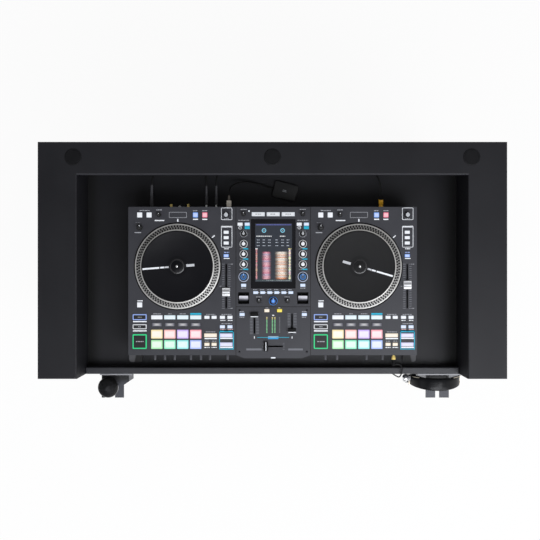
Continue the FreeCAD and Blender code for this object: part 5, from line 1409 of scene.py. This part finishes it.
piece("microphone_handle", handle, mic_paint, "microphone", "microphone_metal", "microphone")
foam = bmesh.new()
inner = ball_radius - 0.0014
FOAM_FOOT = -0.0185
rings = []
for step in range(25):
    height = FOAM_FOOT + (inner - 0.0001 - FOAM_FOOT) * step / 24
    rings.append((max(0.0006, math.sqrt(max(0.0, inner * inner - height * height))), height))
turn(foam, rings, ball)
foam_black = moulded("foam_black", (0.010, 0.010, 0.010), 0.9, 0.0003)
piece("microphone_foam", foam, foam_black, "microphone", "microphone_metal")
wire_ball = bmesh.new()
bmesh.ops.create_uvsphere(wire_ball, u_segments=40, v_segments=26, radius=ball_radius - 0.0006, matrix=ball)
below = [vertex for vertex in wire_ball.verts if vertex.co.z < neck + 0.0012]
bmesh.ops.delete(wire_ball, geom=below, context="VERTS")
bmesh.ops.poke(wire_ball, faces=wire_ball.faces)
old_edges = [edge for edge in wire_ball.edges if all(len(end.link_edges) > 4 for end in edge.verts)]
bmesh.ops.dissolve_edges(wire_ball, edges=old_edges)
mic_wire = metal("mic_wire", (0.045, 0.045, 0.048), 0.42)
grille = piece("microphone_grille", wire_ball, mic_wire, "microphone", "microphone_metal")
weave = grille.modifiers.new("wires", "WIREFRAME")
weave.thickness = 0.0009
weave.use_even_offset = False
bumper = bmesh.new()
skin(bumper, [circle(ball_radius - 0.0030, -0.0040), circle(ball_radius - 0.0002, -0.0036),
              circle(ball_radius - 0.0002, 0.0030), circle(ball_radius - 0.0022, 0.0100),
              circle(ball_radius - 0.0058, 0.0166), circle(ball_radius - 0.0070, 0.0164)], at=ball, hoop=True)
bumper_rubber = moulded("bumper_rubber", (0.004, 0.004, 0.004), 0.5, gloss=0.2)
piece("microphone_bumper", bumper, bumper_rubber, "microphone", "microphone_metal")
belt = bmesh.new()
skin(belt, [circle(ball_radius - 0.0008, -0.0024), circle(ball_radius + 0.0004, -0.0016),
            circle(ball_radius + 0.0004, 0.0016), circle(ball_radius - 0.0010, 0.0044),
            circle(ball_radius - 0.0014, 0.0040)], at=ball, hoop=True)
belt_plate = metal("belt_plate", (0.42, 0.42, 0.44), 0.22)
piece("microphone_belt", belt, belt_plate, "microphone", "microphone_metal")


# The headphones hang over the right fork by their band, a sprung arch in gloss black with plated slides and
# bolts at its ends. The ear cups are gloss shells with a dished cover in a chrome ring, each on a swivel pin.

def lacquer(name, colour):
    """Gloss black lacquer with faint swirl marks and a clear coat."""
    finish = Finish(name, {"Specular IOR Level": 0.2, "Coat Roughness": 0.1})
    swirl = finish.noise(70, 4, (1.0, 0.3, 1.0))
    finish.feed("Base Color", finish.mix(swirl, paint(colour), paint(colour, 2.0)))
    finish.feed("Roughness", 0.24 + 0.2 * swirl)
    finish.feed("Coat Weight", finish.span(swirl, 0.3, 0.8) * 0.12)
    finish.bump(finish.noise(420, 2), 0.00002)
    return finish


band_gloss = lacquer("band_gloss", (0.0030, 0.0031, 0.0038))
hinge_plate = metal("hinge_plate", (0.50, 0.455, 0.385), 0.36)
cover_chrome = metal("cover_chrome", (0.82, 0.83, 0.85), 0.12)
shell_gloss = lacquer("shell_gloss", (0.009, 0.009, 0.010))
cushion_hide = Finish("cushion_hide", {"Specular IOR Level": 0.4})
pores = cushion_hide.node("TexVoronoi", {"feature": "DISTANCE_TO_EDGE"},
                          {"Vector": cushion_hide.place, "Scale": 900.0})
crease = cushion_hide.noise(120, 4)
HIDE = (0.006, 0.006, 0.006)
WORN_HIDE = (0.016, 0.016, 0.017)
cushion_hide.feed("Base Color", cushion_hide.mix(crease, paint(HIDE), paint(WORN_HIDE)))
cushion_hide.feed("Roughness", 0.5 + 0.25 * (crease - 0.5))
cushion_hide.bump(cushion_hide.span(pores, 0.0, 0.25) * 0.6 + crease * 0.4, 0.0002)

band_low, band_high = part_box("headphone_band")
middle = middle_of((band_low, band_high))
ARCH_RADIUS = (band_high.x - band_low.x) / 2
ARCH_HEIGHT = band_high.z - ARCH_RADIUS
BAND_DEEP = 0.0068
PIN_SPREAD = 0.045
cup_top = max(high.z for low, high in islands("left_earcup"))


def band_edges(lift):
    """The front and rear of the band at a share of its height: it leans forward and narrows to its feet."""
    return -0.3055 - 0.0120 * lift ** 1.4, -0.2820 - 0.0032 * lift


arch = bmesh.new()
sections = []
for step in range(49):
    angle = math.pi * step / 48
    out = Vector((math.cos(angle), 0, math.sin(angle)))
    front, rear = band_edges(math.sin(angle))
    hub = Vector((middle.x, (front + rear) / 2, ARCH_HEIGHT))
    half = (rear - front) / 2
    section = []
    for y, depth in ((-half, 0.0048), (-half, 0.0030), (-half + 0.0012, 0.0012), (-half + 0.0040, 0.0003),
                     (-half * 0.3, 0.0), (half * 0.3, 0.0002), (half - 0.0040, 0.0007),
                     (half - 0.0012, 0.0016), (half, 0.0032), (half, 0.0048), (half - 0.0010, BAND_DEEP),
                     (-half + 0.0010, BAND_DEEP)):
        section.append(hub + Vector((0, y, 0)) + out * (ARCH_RADIUS - depth))
    sections.append(section)
skin(arch, sections)
FOOT_MIDDLE = -0.2955
for across in (-1, 1):
    pin_x = middle.x + across * PIN_SPREAD
    foot = Matrix.Translation((middle.x + across * (ARCH_RADIUS - 0.0180), FOOT_MIDDLE, 0))
    boot(arch, [(cup_top + 0.0006, 0.0318, 0.0230), (cup_top + 0.0012, 0.0330, 0.0242),
                (ARCH_HEIGHT - 0.0010, 0.0330, 0.0242), (ARCH_HEIGHT, 0.0318, 0.0230)], foot, 0.2)
    seat = Matrix.Translation((pin_x, middle.y, 0))
    turn(arch, [(0.0034, cup_top - 0.0096), (0.0038, cup_top - 0.0090), (0.0038, ARCH_HEIGHT - 0.0010),
                (0.0034, ARCH_HEIGHT - 0.0006)], seat, count=32)
piece("band_arch", arch, band_gloss, "booth", "headphone_gloss", "headphone_band")

SLIDE_FACE = (-0.0014, 0.0026)
SLIDE_RAIL = ((0.0062, -0.0006), (0.0018, -0.0006), (0.0018, 0.0012), (0.0062, 0.0012))
bolts = bmesh.new()
slides = bmesh.new()
front, rear = band_edges(0.1)
for across in (-1, 1):
    edge = middle.x + across * ARCH_RADIUS
    for y in (front + 0.006, rear - 0.006):
        bolt = (Matrix.Translation((edge - across * 0.0008, y, ARCH_HEIGHT + 0.0060))
                @ Matrix.Rotation(math.radians(90 * across), 4, "Y"))
        skin(bolts, [circle(0.0028, 0.0, SCREW_SIDES), circle(0.0028, 0.0016, SCREW_SIDES),
                     circle(0.0023, 0.0021, SCREW_SIDES), hexagon(0.0028, 0.0021), hexagon(0.0028, 0.0012)],
             at=bolt)
    face = Matrix.Translation((edge + across * 0.0001, 0, 0))
    inward, outward = SLIDE_FACE
    outline = ((inward, front), (outward, front), (outward, rear), (inward, rear))
    skin(slides, [[face @ Vector((x, y, z)) for x, y in outline]
                  for z in (ARCH_HEIGHT + 0.0004, ARCH_HEIGHT + 0.0116)])
for first_angle, last_angle in ((10, 48), (136, 168)):
    rings = []
    for step in range(17):
        angle = math.radians(first_angle + (last_angle - first_angle) * step / 16)
        out = Vector((math.cos(angle), 0, math.sin(angle)))
        rail = Vector((middle.x, band_edges(math.sin(angle))[1], ARCH_HEIGHT))
        rings.append([rail + out * (ARCH_RADIUS - depth) + Vector((0, y, 0)) for depth, y in SLIDE_RAIL])
    skin(slides, rings)
piece("hinge_bolts", bolts, hinge_plate, "booth", "screw_steel")
piece("band_slides", slides, hinge_plate, "booth", "screw_steel")
knuckle = bmesh.new()
knuckle_seat = (Matrix.Translation((band_low.x, -0.2890, ARCH_HEIGHT + 0.0080))
                @ Matrix.Rotation(math.radians(-90), 4, "Y"))
turn(knuckle, [(0.0080, -0.0040), (0.0094, -0.0032), (0.0094, 0.0030), (0.0070, 0.0036), (0.0070, 0.0060),
               (0.0106, 0.0068), (0.0112, 0.0082), (0.0112, 0.0130), (0.0096, 0.0166), (0.0060, 0.0186),
               (0.0010, 0.0192)], knuckle_seat, count=10)
piece("band_knuckle", knuckle, cover_chrome, "booth", "screw_steel")
FORK_TOP = 0.885
PAD_SECTION = ((-0.3120, 0.0), (-0.3136, 0.3), (-0.3136, 0.7), (-0.3120, 1.0), (-0.2780, 1.0), (-0.2764, 0.7),
               (-0.2764, 0.3), (-0.2780, 0.0))
pad = bmesh.new()
sections = []
for step in range(33):
    reach = -0.0295 + 0.059 * step / 32
    under = ARCH_HEIGHT + math.sqrt((ARCH_RADIUS - BAND_DEEP) ** 2 - reach * reach) - 0.0003
    base = FORK_TOP + 0.0004
    rise = max(under - base, 0.0006)
    sections.append([Vector((middle.x + reach, y, base + share * rise)) for y, share in PAD_SECTION])
skin(pad, sections)
piece("band_pad", pad, cushion_hide, "booth", "headphone_gloss")
CUP_OVAL = 0.68
CUP_SETBACK = 0.0094
CUP_SIDES = 96
COVER_SIDES = 72
CUSHION_STEPS = 28
CUSHION_POINTS = 120
for side, across in (("left", -1), ("right", 1)):
    solids = sorted(islands(side + "_earcup"), key=lambda box: (box[1] - box[0]).z)
    cover_low, cover_high = solids[0]
    hub = Vector((middle.x, middle.y + CUP_SETBACK, (cover_low.z + cover_high.z) / 2))
    at = (Matrix.Translation(hub) @ Matrix.Rotation(math.radians(90 * across), 4, "Y")
          @ Matrix.Diagonal((1.0, CUP_OVAL, 1.0, 1.0)))
    body = side + "_earcup"
    shell = bmesh.new()
    turn(shell, [(0.022, 0.0302), (0.0286, 0.0302), (0.0298, 0.0312), (0.0300, 0.0330), (0.0300, 0.0440),
                 (0.0294, 0.0444), (0.0294, 0.0456), (0.0300, 0.0460), (0.0297, 0.0530), (0.0280, 0.0572),
                 (0.0250, 0.0594), (0.0200, 0.0600), (0.0174, 0.0600)], at, count=CUP_SIDES)
    piece(side + "_cup_shell", shell, shell_gloss, body, "headphone_gloss", body)
    cover = bmesh.new()
    reach = (cover_high.x if across > 0 else -cover_low.x) - across * middle.x
    turn(cover, [(0.0168, 0.0596), (0.0170, 0.0604), (0.0170, reach - 0.0040), (0.0164, reach - 0.0020),
                 (0.0152, reach - 0.0008), (0.0138, reach - 0.0010), (0.0128, reach - 0.0016),
                 (0.0090, reach - 0.0026), (0.0040, reach - 0.0030), (0.0034, reach - 0.0022),
                 (0.0004, reach - 0.0020)], at, count=COVER_SIDES)
    piece(side + "_cup_cover", cover, shell_gloss, body, "headphone_gloss")
    trim = bmesh.new()
    ring = ((0.0150, reach - 0.0012), (0.0150, reach - 0.0002), (0.0146, reach), (0.0134, reach),
            (0.0130, reach - 0.0003), (0.0130, reach - 0.0016))
    skin(trim, [circle(radius, height, COVER_SIDES) for radius, height in ring], at=at, hoop=True)
    piece(side + "_cup_trim", trim, cover_chrome, body, "headphone_gloss")
    cushion = bmesh.new()
    rings = []
    for step in range(CUSHION_STEPS):
        angle = 2 * math.pi * step / CUSHION_STEPS
        out = 0.0219 + 0.0078 * math.copysign(abs(math.cos(angle)) ** 0.75, math.cos(angle))
        lift = 0.0231 + 0.0069 * math.copysign(abs(math.sin(angle)) ** 0.75, math.sin(angle))
        outer_side = max(0.0, math.cos(angle)) ** 2
        ring = []
        for point in circle(1.0, 0.0, CUSHION_POINTS):
            around = math.atan2(point.y, point.x)
            pucker = 0.00035 * math.sin(around * 23 + 2.2 * math.sin(around * 3)) * outer_side
            ring.append(Vector((point.x * (out - pucker), point.y * (out - pucker), lift)))
        rings.append(ring)
    skin(cushion, rings, at=at, hoop=True)
    pad = piece(side + "_ear_cushion", cushion, cushion_hide, body, "headphone_gloss")


# The headphone cord is thin black flex. It leaves its plug at the console's front, goes over the lip, hangs
# in one long loop below it and comes up into the left ear cup from underneath.

cord_sheath = sheathing("cord_sheath", (0.006, 0.006, 0.0065), 0.5)
CORD_ROUTE = [
    (0.3307, -0.2417, 0.935), (0.337, -0.2417, 0.935), (0.3426, -0.2449, 0.9353), (0.3459, -0.2506, 0.9357),
    (0.3461, -0.2576, 0.9359), (0.3448, -0.2652, 0.9344), (0.3428, -0.2728, 0.928), (0.3412, -0.2778, 0.915),
    (0.3404, -0.2798, 0.896), (0.3401, -0.2812, 0.864), (0.341, -0.2834, 0.806), (0.3426, -0.2856, 0.747),
    (0.3444, -0.2876, 0.688), (0.3464, -0.2893, 0.632), (0.3482, -0.2907, 0.576), (0.3498, -0.2921, 0.520),
    (0.3509, -0.2928, 0.464),
    (0.3516, -0.2935, 0.410), (0.3523, -0.2943, 0.362), (0.3548, -0.2952, 0.330), (0.3603, -0.2958, 0.312),
    (0.3682, -0.2963, 0.3036), (0.3802, -0.2968, 0.3034), (0.3882, -0.2973, 0.3119), (0.3934, -0.298, 0.330),
    (0.396, -0.2989, 0.362), (0.3974, -0.2999, 0.410), (0.3987, -0.3009, 0.464), (0.3999, -0.3018, 0.520),
    (0.4009, -0.3025, 0.576), (0.4017, -0.3031, 0.630), (0.4025, -0.3036, 0.676), (0.403, -0.304, 0.716),
    (0.403, -0.304, 0.75144)]
cord = flex("phones_cord", 0.0035, CORD_ROUTE, cord_sheath)
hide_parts("headphone_cord")
relief = bmesh.new()
sleeve = Matrix.Translation(CORD_ROUTE[-1])
boot(relief, [(-0.0004, 0.0044, 0.0044)] + ribs(0.0, 0.011, 0.0052, 0.0076, 3)
     + [(0.0130, 0.0090, 0.0090), (0.0200, 0.0090, 0.0090)], sleeve, ROUND_CORNER)
piece("cup_relief", relief, plug_black, "left_earcup", "rubber")


# The stage: a white floor that keeps a soft shadow, an even white room, a strip light above the front, a key
# light from the front right, a small fill from the left, and the camera straight above the booth.

def rays(shading, kind):
    """1 for light rays of one kind, and 0 for the others."""
    return shading.node("LightPath", output=f"Is {kind} Ray")


FLOOR_REACH = 30
FLOOR_WHITE = 0.93

floor_mesh = bmesh.new()
bmesh.ops.create_grid(floor_mesh, x_segments=1, y_segments=1, size=FLOOR_REACH)
floor_data = bpy.data.meshes.new("floor")
floor_mesh.to_mesh(floor_data)
floor_mesh.free()
floor = bpy.data.objects.new("floor", floor_data)
bpy.context.scene.collection.objects.link(floor)
floor_paint = Finish("floor_paint", {"Base Color": (0.92, 0.92, 0.92, 1), "Roughness": 0.9})
seen = rays(floor_paint, "Camera") + rays(floor_paint, "Glossy") + rays(floor_paint, "Transmission")
shadowed = Wire(floor_paint, floor_paint.shader.outputs[0])
bright = floor_paint.node("Emission")
floor_face = floor_paint.node("MixShader", sockets={0: seen * FLOOR_WHITE, 1: shadowed, 2: bright})
floor_paint.tree.links.new(floor_face.socket, floor_paint.tree.nodes["Material Output"].inputs[0])
floor_data.materials.append(floor_paint.material)

ROOM_LIGHT = 0.46
world = bpy.data.worlds.new("room")
world.use_nodes = True
bpy.context.scene.world = world
room = Shading(world.node_tree)
heading = room.axes(room.node("TexCoord", output="Generated"))
front_right = 0.5 * heading[0] - 0.6 * heading[1]
ceiling = room.span(heading[2], 0.30, 0.92) * (0.78 - 0.4 * front_right)
dark_left = 0.72 * room.span(-0.15 * heading[1] - heading[0], 0.0, 0.75)
camera_ray = rays(room, "Camera")
mirrored = rays(room, "Glossy") + rays(room, "Transmission")
lighting = ROOM_LIGHT * (1 - camera_ray - mirrored)
strength = (1 - ceiling) * (camera_ray + (1 - dark_left) * mirrored) + lighting
back = room.tree.nodes["Background"]
back.inputs["Color"].default_value = (1, 1, 1, 1)
room.tree.links.new(strength.socket, back.inputs["Strength"])

LAMPS = (("strip_light", 62.0, 2.6, 1.1, (0.5, -1.25, 3.4), (0.25, -0.5, 1.0)),
         ("key_light", 28.0, 1.6, 1.6, (2.0, -2.0, 2.7), (0, 0, 0.9)),
         ("fill_light", 8.0, 2.0, 2.0, (-2.4, -0.6, 2.6), (0, 0, 0.9)))
LAMP_COLOUR = (0.94, 0.96, 1.0)
for name, power, width, depth, spot, aim in LAMPS:
    lamp = bpy.data.lights.new(name, "AREA")
    lamp.shape = "RECTANGLE"
    lamp.energy = power
    lamp.color = LAMP_COLOUR
    lamp.size = width
    lamp.size_y = depth
    thing = bpy.data.objects.new(name, lamp)
    thing.location = spot
    thing.rotation_euler = (Vector(aim) - Vector(spot)).to_track_quat("-Z", "Y").to_euler()
    thing.visible_camera = False
    bpy.context.scene.collection.objects.link(thing)

CAMERA_SPOT = (-0.0062, 0.0095, 3.65)
lens = bpy.data.cameras.new("camera")
lens.lens = 67.88
lens.sensor_width = 36.0
camera = bpy.data.objects.new("camera", lens)
camera.location = CAMERA_SPOT
bpy.context.scene.collection.objects.link(camera)
bpy.context.scene.camera = camera
bpy.context.scene.view_settings.view_transform = "Standard"
